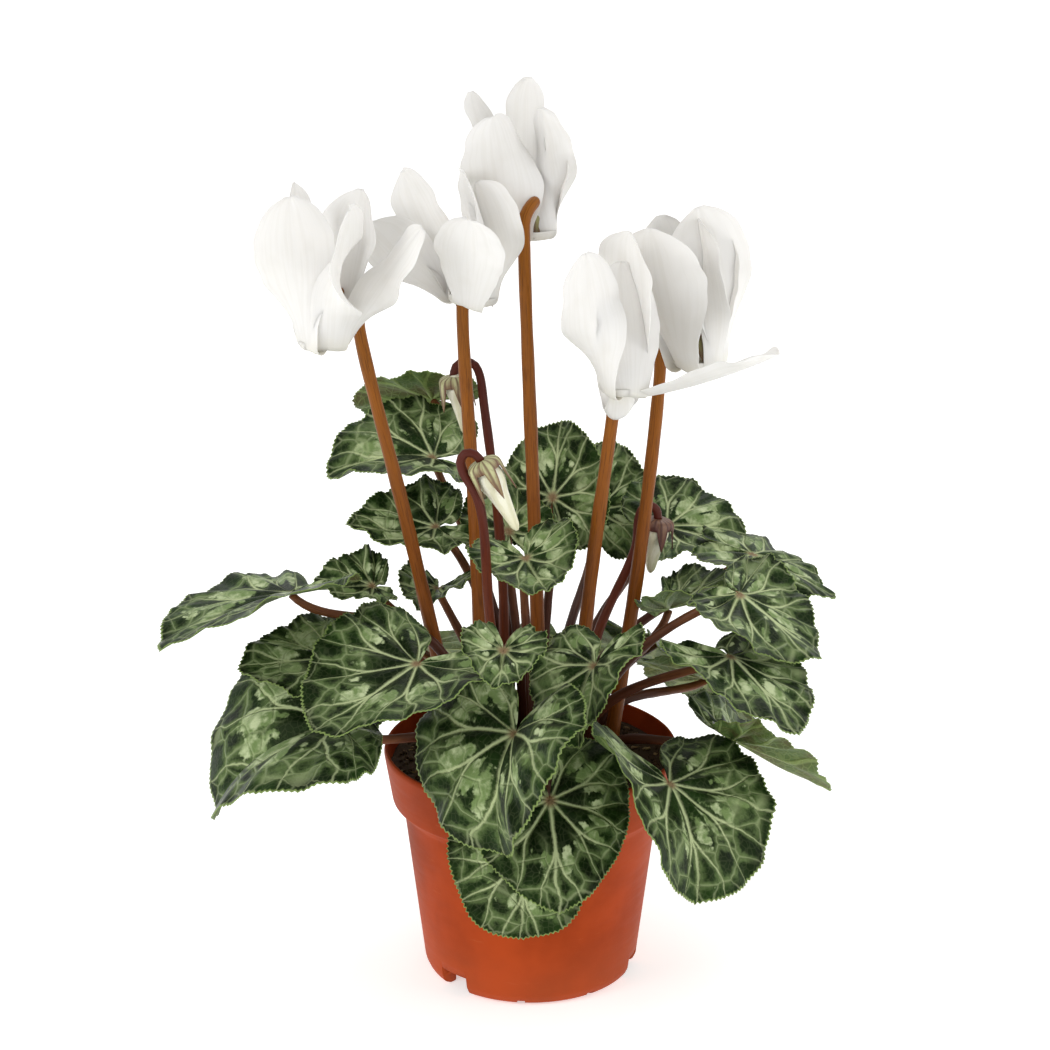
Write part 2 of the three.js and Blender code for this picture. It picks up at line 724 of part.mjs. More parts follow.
// A flower stalk: up from the corm, over in a hook, and down on to the calyx's cap.
function hookedCurve(bloom, top) {
  const matrix = flowerMatrix(bloom);
  const place = (out, up, swing = 0) => {
    const side = radians(bloom.side + (bloom.swing ?? 0) * swing);
    return new THREE.Vector3(out * Math.cos(side), out * Math.sin(side), up).applyMatrix4(matrix);
  };
  const crest = bloom.crest ?? 6.5;
  const shoulder = place(bloom.reach, top, 1);
  const root = rootPoint(bloom.root, PEDUNCLE.rootRadius);
  const middle = root.clone().lerp(shoulder, 0.5);
  const bow = new THREE.Vector3(shoulder.y - root.y, root.x - shoulder.x, 0);
  if (bow.length() > 1e-6) middle.addScaledVector(bow.normalize(), bloom.bow ?? 0);
  return new THREE.CatmullRomCurve3(
    [
      root,
      middle,
      place(bloom.reach, top - 12, 1),
      shoulder,
      place(bloom.reach * 0.86, top + crest * 0.7, 0.7),
      place(bloom.reach * 0.5, top + crest),
      place(bloom.reach * 0.14, top + crest * 0.7),
      place(0, top),
    ],
    false,
    "centripetal",
  );
}

function flowerNodes(flower) {
  const matrix = flowerMatrix(flower);
  const top = TUBE.length + GAP + CALYX.cap;
  const { rootRadius, tipRadius, sides, steps } = PEDUNCLE;
  const stalk = stalkSolid(hookedCurve(flower, top), steps, sides, rootRadius, tipRadius);
  const calyx = calyxSolid(TUBE.radius, TUBE.length, CALYX.length, CALYX.width);
  const relief = stalkSolid(
    hookedCurve(flower, top), steps, sides, rootRadius + 1.3 * GAP, tipRadius + 1.3 * GAP,
  );
  const corolla = corollaSolid(flower).transform(matrix.elements).subtract(relief);
  return [
    nodeOf(`${flower.name}_petals`, corolla, COLOURS.petal, 0.6),
    nodeOf(`${flower.name}_stalk`, stalk.add(calyx.transform(matrix.elements)), COLOURS.stalk, 0.5),
  ];
}

function budNodes(bud) {
  const matrix = flowerMatrix(bud);
  const { rootRadius, tipRadius, sides, steps } = BUD_STALK;
  const profile = BUD_OUTLINE.map(([along, share]) => [share * bud.radius, -along * bud.length]);
  profile.reverse();
  const body = turnedSolid([[0, -bud.length], ...profile, [0, 0]], BUD.sides);
  const stalk = stalkSolid(hookedCurve(bud, GAP + CALYX.cap), steps, sides, rootRadius, tipRadius);
  const calyx = calyxSolid(bud.radius, 0, bud.length * 0.45, bud.radius * 0.8);
  return [
    nodeOf(bud.name, body.transform(matrix.elements), COLOURS.bud, 0.6),
    nodeOf(`${bud.name}_stalk`, stalk.add(calyx.transform(matrix.elements)), COLOURS.budStalk, 0.5),
  ];
}

// ---------------------------------------------------------------- pot, soil and corm
// The pot's inner face as [radius, height] points, from the floor's middle to the rim.
function innerProfile() {
  const { rimRadius, height, bandHeight, bandRadius, shoulderRadius, wall } = POT;
  const floor = POT.recess + POT.floor;
  return [
    [0, floor],
    [POT.footRadius - 1.5, floor],
    [POT.wallFootRadius - wall, floor + 3.5],
    [shoulderRadius - wall, height - bandHeight - 3],
    [bandRadius - wall, height - bandHeight + 1],
    [rimRadius - wall, height],
  ];
}

function potSolid() {
  const { rimRadius, height, bandHeight, bandRadius, shoulderRadius, corner } = POT;
  const inside = innerProfile().reverse();
  const footInner = POT.footRadius - POT.footWidth;
  const shell = turnedSolid(
    [
      [0, 0],
      [POT.padRadius, 0],
      [POT.padRadius, POT.recess],
      [footInner, POT.recess],
      [footInner, 0],
      [POT.footRadius, 0],
      [POT.footRadius + 2.6, corner * 0.35],
      [POT.wallFootRadius - 0.2, corner],
      [shoulderRadius, height - bandHeight - 4],
      [shoulderRadius + 1.2, height - bandHeight - 1.6],
      [bandRadius, height - bandHeight],
      [rimRadius, height - 1],
      [rimRadius - 0.4, height],
      ...inside,
    ],
    POT.sides,
  );
  const cuts = [];
  for (let k = 0; k < POT.drains * 3; k += 1) {
    const wide = k % 3 === 0;
    const width = wide ? POT.drainWidth : POT.nickWidth;
    const top = wide ? POT.drainHeight : POT.nickHeight;
    const block = new THREE.BoxGeometry(12, width, top + 2).toNonIndexed();
    block.translate(POT.footRadius + 1, 0, top / 2 - 1);
    block.rotateZ(radians(POT.drainAngle + (360 * k) / (POT.drains * 3)));
    cuts.push(solidOf(block));
  }
  return cuts.reduce((pot, cut) => pot.subtract(cut), shell);
}

function cormSolid() {
  const rim = cormTop(CORM.radius);
  const foot = rim - CORM.depth;
  const profile = [
    [0, foot],
    [CORM.radius * 0.6, foot + 1.5],
    [CORM.radius * 0.92, foot + 8],
    [CORM.radius, rim - 5],
    [CORM.radius - 0.6, rim],
    [CORM.radius * 0.6, cormTop(CORM.radius * 0.6)],
    [0, cormTop(0)],
  ];
  return turnedSolid(profile, CORM.sides).translate(CORM.x, CORM.y, 0);
}

// The soil fills the pot, with a lumpy top, and has a plain hole for the corm.
function soilSolid() {
  const inside = innerProfile();
  const rimSlope = (POT.rimRadius - POT.bandRadius) / POT.bandHeight;
  const topRadius = POT.rimRadius - POT.wall - rimSlope * (POT.height - SOIL.level) - GAP;
  const profile = inside
    .slice(0, 5)
    .map(([radius, height], i) => [Math.max(radius - GAP, 0), height + (i < 2 ? GAP : 0)]);
  const tops = [];
  for (let r = 0; r < SOIL.rings; r += 1) {
    const share = 1 - r / SOIL.rings;
    tops.push([topRadius * share, SOIL.level + 1.5 * (1 - share)]);
  }
  const lump = (x, y, height) =>
    height < SOIL.level - 0.5
      ? 0
      : SOIL.bump * Math.sin(x * 0.61 + y * 0.37) * Math.cos(y * 0.73 - x * 0.19);
  const bulk = turnedSolid([...profile, ...tops, [0, SOIL.level + 1.6]], POT.sides, lump);
  const pocket = turnedSolid(
    [
      [0, cormTop(CORM.radius) - CORM.depth - GAP],
      [CORM.radius + GAP * 2, cormTop(CORM.radius) - CORM.depth - GAP],
      [CORM.radius + GAP * 2, CORM.crown + 5],
      [0, CORM.crown + 5],
    ],
    CORM.sides,
  );
  return bulk.subtract(pocket.translate(CORM.x, CORM.y, 0));
}

// ---------------------------------------------------------------- the whole plant
const plant = new THREE.Group();
plant.name = "potted_cyclamen";
plant.add(
  nodeOf("pot", potSolid(), COLOURS.pot, 0.55),
  nodeOf("soil", soilSolid(), COLOURS.soil, 0.95),
  nodeOf("corm", cormSolid(), COLOURS.corm, 0.9),
);
const leaves = new THREE.Group();
for (const leaf of LEAVES) leaves.add(leafNode(leaf));
const flowers = new THREE.Group();
for (const flower of FLOWERS) flowers.add(...flowerNodes(flower));
const buds = new THREE.Group();
for (const bud of BUDS) buds.add(...budNodes(bud));
plant.add(leaves, flowers, buds);
export default plant;
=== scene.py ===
"""Looks of a potted cyclamen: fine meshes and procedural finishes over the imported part.

Every size is in millimetres, as in the part itself, and turns into metres when a mesh
is made. Each piece is laid on the box of the CAD node that it stands for.
"""
import logging
import math
from dataclasses import dataclass
from enum import Enum
from typing import Any, Sequence

import bmesh
import bpy
import numpy as np
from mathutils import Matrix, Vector, noise


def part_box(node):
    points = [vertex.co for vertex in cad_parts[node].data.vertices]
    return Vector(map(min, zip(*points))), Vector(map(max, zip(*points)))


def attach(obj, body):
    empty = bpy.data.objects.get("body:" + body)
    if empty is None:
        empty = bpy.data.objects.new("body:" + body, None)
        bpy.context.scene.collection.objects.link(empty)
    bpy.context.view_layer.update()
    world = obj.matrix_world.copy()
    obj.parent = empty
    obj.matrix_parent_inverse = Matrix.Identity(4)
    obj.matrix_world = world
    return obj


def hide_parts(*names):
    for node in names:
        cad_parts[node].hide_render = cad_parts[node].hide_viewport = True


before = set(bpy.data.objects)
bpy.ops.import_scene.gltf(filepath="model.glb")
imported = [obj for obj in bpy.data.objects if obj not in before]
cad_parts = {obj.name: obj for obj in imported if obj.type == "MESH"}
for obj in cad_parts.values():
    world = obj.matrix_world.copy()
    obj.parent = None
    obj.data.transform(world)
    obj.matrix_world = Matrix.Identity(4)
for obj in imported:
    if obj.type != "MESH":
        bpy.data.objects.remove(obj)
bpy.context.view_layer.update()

LOG = logging.getLogger("cyclamen")
MM = 0.001
GAP = 0.3
POLE_RADIUS = 0.05  # the small ring that closes a turned solid at its axis

# How far apart the patterns of two pieces are that follow each other.
BLADE_SEED, PETIOLE_SEED, PETAL_SEED, STALK_SEED = 37.0, 1.7, 3.3, 2.3

# How a turned profile is rounded and split, in millimetres and as a share of a run.
ARC_STEPS = 3
CORNER_SHARE = 0.4
LONG_RUN = 1.6
RUN_INSET = 0.5
RUN_STEP = 5.0


# ------------------------------------------------------------------ sizes of the parts
@dataclass(frozen=True)
class PotSize:
    """Sizes of the moulded nursery pot."""

    rim_radius: float = 52.5
    height: float = 85.0
    band_height: float = 19.0
    band_radius: float = 49.6
    shoulder_radius: float = 45.6
    wall_foot_radius: float = 38.8
    foot_radius: float = 34.8
    corner: float = 4.0
    wall: float = 1.3
    floor: float = 1.6
    foot_width: float = 2.6
    recess: float = 3.6
    pad_radius: float = 9.0
    drains: int = 3
    drain_width: float = 12.5
    drain_height: float = 7.8
    drain_angle: float = -135.5
    nick_width: float = 3.0
    nick_height: float = 2.2


@dataclass(frozen=True)
class CormSize:
    """Sizes of the corm, the swollen root that carries every stalk."""

    x: float = 2.0
    y: float = 0.0
    radius: float = 29.0
    crown: float = 82.0
    dome: float = 2.4
    depth: float = 22.0

    def top(self, radius: float) -> float:
        """Height of the corm's upper face.

        Args:
            radius: distance from the corm's middle.

        Returns:
            The height above the ground.
        """
        return self.crown - self.dome * (radius / self.radius) ** 2


@dataclass(frozen=True)
class StalkSize:
    """Radii of a stalk at its two ends, how finely it is drawn, and how its foot swells."""

    root_radius: float
    tip_radius: float
    sides: int
    steps: int
    swell: float
    swell_run: float = 4.0


@dataclass(frozen=True)
class TubeSize:
    """Sizes of the short tube of an open flower."""

    length: float = 9.0
    radius: float = 5.2
    wall: float = 1.1


@dataclass(frozen=True)
class CalyxSize:
    """Sizes shared by every calyx."""

    lobes: int = 5
    thickness: float = 0.9
    cap: float = 1.4
    cup: float = 1.6


POT = PotSize()
CORM = CormSize()
TUBE = TubeSize()
CALYX = CalyxSize()
SOIL_LEVEL = 78.5
PETIOLE = StalkSize(root_radius=2.1, tip_radius=1.4, sides=14, steps=34, swell=0.5)
PEDUNCLE = StalkSize(root_radius=2.6, tip_radius=2.1, sides=20, steps=84, swell=0.6)
BUD_STALK = StalkSize(root_radius=2.0, tip_radius=1.5, sides=18, steps=80, swell=0.5)


# ------------------------------------------------------------------ shapes that grow
@dataclass(frozen=True)
class LeafShape:
    """One leaf: where its blade is, how it bends, and how its petiole runs.

    heading, dip and roll turn the blade; droop, lobes, fold and curl bend it, all in
    degrees. wide scales it across and back scales it behind the joint, and blunt rounds
    its tip. root is [distance from the corm's middle, heading]. rise and neck say how
    far the petiole keeps its course at its two ends, and via are points it passes.
    """

    name: str
    joint: tuple[float, float, float]
    heading: float
    dip: float
    length: float
    roll: float = 0.0
    wide: float = 1.0
    back: float = 1.0
    droop: float = 0.0
    lobes: float = 0.0
    fold: float = 0.0
    curl: float = 0.0
    blunt: float = 0.0
    root: tuple[float, float] = (19.0, 0.0)
    rise: float = 0.45
    neck: float = 0.3
    via: tuple[tuple[float, float, float], ...] = ()


@dataclass(frozen=True)
class PetalShape:
    """One petal: its heading, its size in millimetres and its bends in degrees.

    spread is how far it leans out from upright, flare how much more at its tip, and cup
    how far its edges stand off its middle, as a share of its half width. drop is how
    far it hangs before it folds back.
    """

    heading: float
    length: float
    width: float
    spread: float
    flare: float
    twist: float
    cup: float
    drop: float = 0.0


@dataclass(frozen=True, kw_only=True)
class BloomShape:
    """What an open flower and a bud share: where they are and how their stalk comes up.

    mouth is the middle of the flower's mouth or of the bud's base, and root is as on a
    leaf. side is the heading of the stalk's hook, reach how far it stands out, crest how
    high it goes over the calyx, and swing how much it turns on the way. bow bends it.
    """

    name: str
    mouth: tuple[float, float, float]
    lean: float
    towards: float
    side: float
    reach: float
    root: tuple[float, float]
    crest: float = 6.5
    bow: float = 0.0
    swing: float = 0.0


@dataclass(frozen=True, kw_only=True)
class FlowerShape(BloomShape):
    """One open flower."""

    petals: tuple[PetalShape, ...]


@dataclass(frozen=True, kw_only=True)
class BudShape(BloomShape):
    """One nodding bud."""

    length: float
    radius: float


# Leaf outline: share of the length from joint to margin, at angles off the midrib.
LEAF_OUTLINE = (
    (0, 1.0), (14, 0.92), (38, 0.81), (72, 0.76), (105, 0.79),
    (132, 0.8), (150, 0.7), (162, 0.5), (168, 0.3),
)
# Petal outline: share of the greatest half width, along the petal.
PETAL_OUTLINE = (
    (0, 0.38), (0.1, 0.43), (0.28, 0.62), (0.5, 0.9),
    (0.68, 1.0), (0.86, 0.82), (0.95, 0.52), (1, 0.14),
)
# Waves of a petal's edge: how many there are in 6.28 lengths, and share of the width.
PETAL_EDGE_WAVES = ((19, 0.018), (41, 0.012))
# Bud outline: share of the greatest radius, along the bud from its base.
BUD_OUTLINE = (
    (0, 0.45), (0.12, 0.92), (0.26, 1.0), (0.45, 0.74), (0.7, 0.52), (0.93, 0.32), (1, 0.12),
)
# Rings of points on a blade, as shares of the way to its margin, closer near the teeth.
BLADE_RINGS = (0.03, 0.11, 0.22, 0.34, 0.46, 0.58, 0.7, 0.8, 0.885, 0.945, 0.98, 1.0)
# Hook of a stalk from its shoulder: shares of its reach, of its crest and of its swing.
HOOK_OUTLINE = ((0.86, 0.7, 0.7), (0.5, 1, 0), (0.14, 0.7, 0), (0, 0, 0))
HOOK_LEG = 12.0  # how far under its shoulder a stalk stands under its hook
VEIN_STEP = 38.0  # degrees between the main veins of a leaf
SINUS = 168.0  # degrees from the midrib to the edge of the notch at the joint

LEAVES: tuple[LeafShape, ...] = (
    LeafShape(
        "leaf_front_centre", joint=(-5, -63, 115), heading=-132, dip=41, roll=12, length=43,
        wide=1.2, back=0.68, droop=70, lobes=4, fold=-32, curl=31, root=(25.5, -96),
    ),
    LeafShape(
        "leaf_front_under", joint=(6, -59, 89), heading=-80, dip=50, length=38, droop=20,
        lobes=14, curl=24, root=(25.5, -70), rise=0.7,
    ),
    LeafShape(
        "leaf_front_low", joint=(-3, -62, 71), heading=-88, dip=68, length=30, wide=1.1,
        droop=4, lobes=8, fold=4, curl=8, root=(25.5, -84),
        via=((0, -38, 92), (-7, -53, 92), (-5, -60, 82)), blunt=0.1,
    ),
    LeafShape(
        "leaf_right_front", joint=(48, -53, 92), heading=-60, dip=27, roll=-23, length=45,
        wide=1.14, back=0.82, droop=46, lobes=20, fold=-6, curl=-18, root=(25.5, -49),
        blunt=0.06,
    ),
    LeafShape(
        "leaf_left_low", joint=(-64, -47, 111), heading=-174, dip=4, roll=-10, length=56,
        wide=1.15, back=0.38, droop=72, lobes=12, fold=-36, curl=42, root=(25.5, -137),
    ),
    LeafShape(
        "leaf_left_front", joint=(-38, -56, 138), heading=-140, dip=16, roll=-2, length=45,
        wide=1.08, back=0.58, lobes=2, fold=-5, curl=-12, root=(19, -141), rise=0.75,
    ),
    LeafShape(
        "leaf_left_middle", joint=(-68, -28, 129), heading=-171, dip=-4, roll=-14, length=33,
        back=0.52, droop=13, lobes=16, fold=-6, curl=6, root=(25.5, -148),
        via=((-40, -20, 126), (-54, -26, 131)),
    ),
    LeafShape(
        "leaf_centre_small", joint=(-9, -72, 148), heading=-95, dip=16, roll=-4, length=19,
        droop=6, lobes=2, fold=-24, curl=14, root=(19, -91), rise=1, neck=0.25,
    ),
    LeafShape(
        "leaf_centre_dark", joint=(22, -38, 130), heading=-124, dip=28, roll=18, length=30,
        wide=1.05, back=0.8, droop=54, fold=-32, curl=32, root=(19, -68),
    ),
    LeafShape(
        "leaf_right_mid", joint=(68, -34, 132), heading=-47, dip=18, roll=-12, length=38,
        wide=1.06, back=0.62, droop=20, lobes=26, fold=7, curl=-20, root=(19, -38),
    ),
    LeafShape(
        "leaf_right_low", joint=(71, -17, 95), heading=8, dip=30, roll=-12, length=42,
        back=0.56, droop=6, lobes=12, fold=-12, curl=-12, root=(25.5, -20),
    ),
    LeafShape(
        "leaf_right_upper", joint=(72, -12, 147), heading=-26, dip=26, length=36, wide=1.2,
        back=0.5, droop=10, lobes=9, fold=16, curl=-34, root=(19, -20),
    ),
    LeafShape(
        "leaf_right_inner", joint=(50, 15, 131), heading=-14, dip=-24, roll=-7, length=32,
        wide=1.05, back=0.26, droop=10, lobes=13, fold=-17, curl=-8, root=(19, 20),
    ),
    LeafShape(
        "leaf_right_far", joint=(81, 36, 144), heading=-12, dip=15, roll=-4, length=34,
        droop=21, lobes=10, fold=-2, curl=7, root=(19, 41),
    ),
    LeafShape(
        "leaf_right_back", joint=(51, 65, 145), heading=4, dip=-9, roll=17, length=32,
        wide=1.08, back=0.75, droop=36, lobes=10, fold=-12, root=(19, 55),
    ),
    LeafShape(
        "leaf_back_right", joint=(25, 87, 145), heading=74, dip=-56, length=30, droop=14,
        lobes=4, fold=-8, curl=8, root=(19, 71),
    ),
    LeafShape(
        "leaf_back_centre", joint=(8, 50, 162), heading=78, dip=-60, length=31, wide=0.9,
        droop=14, lobes=4, fold=-8, curl=8, root=(19, 87),
    ),
    LeafShape(
        "leaf_back_inner", joint=(-8, 34, 154), heading=112, dip=-40, length=24, droop=20,
        lobes=4, fold=-12, curl=10, root=(16, 106),
    ),
    LeafShape(
        "leaf_centre", joint=(-2, -16, 161), heading=-71, dip=16, roll=12, length=26, back=0.8,
        droop=-14, lobes=2, fold=-22, curl=6, root=(8, -100),
    ),
    LeafShape(
        "leaf_left_inner", joint=(-56, 6, 143), heading=-165, dip=-7, roll=-16, length=22,
        back=0.5, fold=-13, curl=-12, root=(19, 162),
    ),
    LeafShape(
        "leaf_inner_left", joint=(-33, 17, 138), heading=-110, dip=0, length=20, back=0.6,
        droop=4, fold=-24, curl=-8, root=(19, 147),
    ),
    LeafShape(
        "leaf_left_far", joint=(-83, -13, 147), heading=-146, dip=0, roll=15, length=53,
        wide=0.92, back=0.45, droop=22, lobes=5, fold=-9, curl=2, root=(25.5, -159), rise=0.85,
    ),
    LeafShape(
        "leaf_left_upper", joint=(-34, 22, 160), heading=-168, dip=4, roll=-14, length=33,
        wide=0.95, back=0.6, droop=-22, lobes=2, fold=-17, curl=5, root=(19, 132.5),
    ),
    LeafShape(
        "leaf_left_top", joint=(-36, 46, 178), heading=-167, dip=-16, roll=-11, length=40,
        wide=1.06, back=0.65, droop=47, lobes=10, fold=-18, curl=4, root=(19, 118),
    ),
    LeafShape(
        "leaf_left_behind", joint=(-37, 81, 190), heading=179, dip=-5, roll=55, length=30,
        droop=9, lobes=10, fold=8, curl=11, root=(25.5, 114), rise=0.2, neck=0.5,
    ),
    LeafShape(
        "leaf_rear_left", joint=(-44, 62, 99), heading=130, dip=34, length=36, droop=24,
        lobes=12, fold=8, curl=14, root=(25.5, 132),
    ),
    LeafShape(
        "leaf_rear", joint=(11, 75, 97), heading=84, dip=44, length=38, droop=20, lobes=12,
        fold=8, curl=16, root=(25.5, 90),
    ),
    LeafShape(
        "leaf_rear_right", joint=(49, 62, 101), heading=48, dip=36, length=37, droop=20,
        lobes=12, fold=8, curl=14, root=(25.5, 53),
    ),
    LeafShape(
        "leaf_rear_low_left", joint=(-68, 7, 98), heading=184, dip=34, length=38, droop=26,
        lobes=12, fold=8, curl=14, root=(25.5, 160),
    ),
    LeafShape(
        "leaf_rear_low_right", joint=(66, 42, 93), heading=41, dip=40, length=34, droop=20,
        lobes=12, fold=8, curl=14, root=(25.5, 30),
    ),
)


FLOWERS: tuple[FlowerShape, ...] = (
    FlowerShape(
        name="flower_left", mouth=(-70, -14, 236.5), lean=4, towards=180, side=88, reach=18,
        root=(27, 177), bow=-5.5, swing=-41, crest=1.5,
        petals=(
            PetalShape(-126, 56, 27, 4, -6, -66, 0.08),
            PetalShape(-64, 63, 26, 23, 11, 118, 0.1),
            PetalShape(43, 55, 31, 18, -2, -12, 0.27),
            PetalShape(-31, 60, 16, 35, 10, 108, 0.26),
            PetalShape(130, 58, 21, 0, -1, -44, 0.16),
        ),
    ),
    FlowerShape(
        name="flower_middle", mouth=(-20, -8, 250), lean=6, towards=0, side=92, reach=12,
        root=(19, -172), swing=14,
        petals=(
            PetalShape(-99, 39, 25, 27, -9, -3, 0.1),
            PetalShape(160, 42, 22, 58, -4, 30, 0.3),
            PetalShape(-12, 46, 21, 2, -34, 100, 0.3),
            PetalShape(131, 54, 19, 39, 9, 67, 0.28),
            PetalShape(49, 53, 27, -6, -34, 16, 0.16),
        ),
    ),
    FlowerShape(
        name="flower_top", mouth=(0.5, 26, 265), lean=2, towards=90, side=-78, reach=16,
        root=(5, 60), crest=5, swing=-20,
        petals=(
            PetalShape(-131, 49, 28, 14, 3, -99, 0.44),
            PetalShape(-27, 48, 19, -5, -4, 96, 0.5),
            PetalShape(152, 55, 21, 19, -1, -21, 0.05),
            PetalShape(94, 57, 24, 1, 4, 41, 0.25),
            PetalShape(40, 41, 25, 6, -3, -5, 0.19),
        ),
    ),
    FlowerShape(
        name="flower_right_front", mouth=(30.5, -16, 222), lean=4, towards=-90, side=84, reach=18,
        root=(12.5, -15), swing=10,
        petals=(
            PetalShape(-133, 57, 23, 15, -5, -94, 0.11),
            PetalShape(-71, 49, 26, -3, -23, -35, 0.05),
            PetalShape(-25, 56, 24, 72, -13, -5, 0.36),
            PetalShape(50, 58, 31, -3, -5, 1, 0.27),
            PetalShape(92, 68, 20, 7, 15, 27, 0.05, 15),
        ),
    ),
    FlowerShape(
        name="flower_right", mouth=(58, 14, 222), lean=2, towards=180, side=108, reach=15,
        root=(25.5, -2), bow=3, swing=42,
        petals=(
            PetalShape(-128, 61, 32, 29, -20, -25, 0.23),
            PetalShape(-57, 57, 14, 12, -39, 84, 0.05),
            PetalShape(-15, 60, 28, 2, -19, 51, 0.05),
            PetalShape(62, 55, 30, 7, -2, 7, 0.06),
            PetalShape(152, 56, 30, 11, -9, 3, 0.05),
        ),
    ),
)


BUDS: tuple[BudShape, ...] = (
    BudShape(
        name="bud_front", mouth=(-16, -42, 203), lean=26, towards=180, side=180, reach=7, crest=5,
        length=26, radius=4.8, root=(19, -112),
    ),
    BudShape(
        name="bud_back", mouth=(-26, 14, 218), lean=8, towards=180, side=0, reach=9, crest=5,
        length=22, radius=4.6, root=(12.5, 150), bow=5,
    ),
    BudShape(
        name="bud_right", mouth=(45, 22, 162), lean=6, towards=0, side=180, reach=7, crest=5,
        length=20, radius=4.8, root=(12.5, 25), bow=-3,
    ),
)


# ------------------------------------------------------------------ curves and turns
def along_curve(points: Sequence[tuple[float, float]], x: np.ndarray) -> np.ndarray:
    """Values of the smooth curve through some points.

    Args:
        points: [x, value] pairs in rising order of x.
        x: where the curve is read.

    Returns:
        The values, in the shape of x.
    """
    table = np.array(points, float)
    xs, values = table[:, 0], table[:, 1]
    slopes = np.empty(len(xs))
    slopes[0] = (values[1] - values[0]) / (xs[1] - xs[0])
    slopes[-1] = (values[-1] - values[-2]) / (xs[-1] - xs[-2])
    slopes[1:-1] = (values[2:] - values[:-2]) / (xs[2:] - xs[:-2])
    i = np.clip(np.searchsorted(xs, x, side="left") - 1, 0, len(xs) - 2)
    span = xs[i + 1] - xs[i]
    t = np.clip((x - xs[i]) / span, 0, 1)
    return (
        (2 * t**3 - 3 * t**2 + 1) * values[i]
        + (t**3 - 2 * t**2 + t) * slopes[i] * span
        + (3 * t**2 - 2 * t**3) * values[i + 1]
        + (t**3 - t**2) * slopes[i + 1] * span
    )


def smoothstep(x: np.ndarray, low: float, high: float) -> np.ndarray:
    """The smooth rise from 0 at low to 1 at high."""
    t = np.clip((x - low) / (high - low), 0, 1)
    return t * t * (3 - 2 * t)


def unit(v: np.ndarray) -> np.ndarray:
    """The vectors of v, each with length 1."""
    return v / np.maximum(np.linalg.norm(v, axis=-1, keepdims=True), 1e-9)


def turn_x(angle: float) -> np.ndarray:
    """A turn about x, in degrees, as a 3 by 3 matrix."""
    c, s = math.cos(math.radians(angle)), math.sin(math.radians(angle))
    return np.array([[1, 0, 0], [0, c, -s], [0, s, c]])


def turn_y(angle: float) -> np.ndarray:
    """A turn about y, in degrees, as a 3 by 3 matrix."""
    c, s = math.cos(math.radians(angle)), math.sin(math.radians(angle))
    return np.array([[c, 0, s], [0, 1, 0], [-s, 0, c]])


def turn_z(angle: float) -> np.ndarray:
    """A turn about z, in degrees, as a 3 by 3 matrix."""
    c, s = math.cos(math.radians(angle)), math.sin(math.radians(angle))
    return np.array([[c, -s, 0], [s, c, 0], [0, 0, 1]])


class Course:
    """A smooth line in space that can be read evenly along its length."""

    def __init__(self, dense: np.ndarray) -> None:
        """Keeps a line.

        Args:
            dense: its points, close together.
        """
        self.dense = dense
        steps = np.linalg.norm(np.diff(dense, axis=0), axis=1)
        self.run = np.concatenate([[0.0], np.cumsum(steps)])

    @classmethod
    def bezier(cls, a: np.ndarray, b: np.ndarray, c: np.ndarray, d: np.ndarray) -> "Course":
        """A cubic curve.

        Args:
            a: where it starts.
            b: the handle of the start.
            c: the handle of the end.
            d: where it ends.

        Returns:
            The new course.
        """
        t = np.linspace(0, 1, 240)[:, None]
        s = 1 - t
        return cls(s**3 * a + 3 * s**2 * t * b + 3 * s * t**2 * c + t**3 * d)

    @classmethod
    def through(cls, stops: Sequence[np.ndarray]) -> "Course":
        """The centripetal curve through some points.

        Args:
            stops: the points, in order.

        Returns:
            The new course.
        """
        p = [np.asarray(stop, float) for stop in stops]
        p = [2 * p[0] - p[1], *p, 2 * p[-1] - p[-2]]
        t = np.linspace(0, 1, 60)[:, None]
        pieces = []
        for k in range(1, len(p) - 2):
            d0, d1, d2 = (np.linalg.norm(p[k + j] - p[k + j - 1]) ** 0.5 for j in (0, 1, 2))
            before, start, end, after = p[k - 1 : k + 3]
            a = (start - before) / d0 - (end - before) / (d0 + d1) + (end - start) / d1
            b = (end - start) / d1 - (after - start) / (d1 + d2) + (after - end) / d2
            a, b = a * d1, b * d1
            pieces.append(
                start + a * t
                + (-3 * start + 3 * end - 2 * a - b) * t**2
                + (2 * start - 2 * end + a + b) * t**3
            )
        return cls(np.concatenate([piece[:-1] for piece in pieces] + [pieces[-1][-1:]]))

    @property
    def length(self) -> float:
        """The length of the line."""
        return float(self.run[-1])

    def at(self, shares: np.ndarray) -> np.ndarray:
        """Points at shares of the length."""
        return np.stack(
            [np.interp(shares * self.length, self.run, self.dense[:, k]) for k in range(3)], -1
        )

    def frames(self, shares: np.ndarray) -> tuple[np.ndarray, np.ndarray, np.ndarray]:
        """Points with two directions square to the line, turning as little as they can.

        Args:
            shares: shares of the length, in rising order.

        Returns:
            The points, the first directions and the second ones.
        """
        points = self.at(shares)
        tangents = unit(np.gradient(points, axis=0))
        first = np.empty_like(points)
        guess = np.array([1.0, 0.2, 0.0])
        for k, tangent in enumerate(tangents):
            guess = guess - tangent * guess.dot(tangent)
            guess = guess / np.linalg.norm(guess)
            first[k] = guess
        return points, first, np.cross(tangents, first)


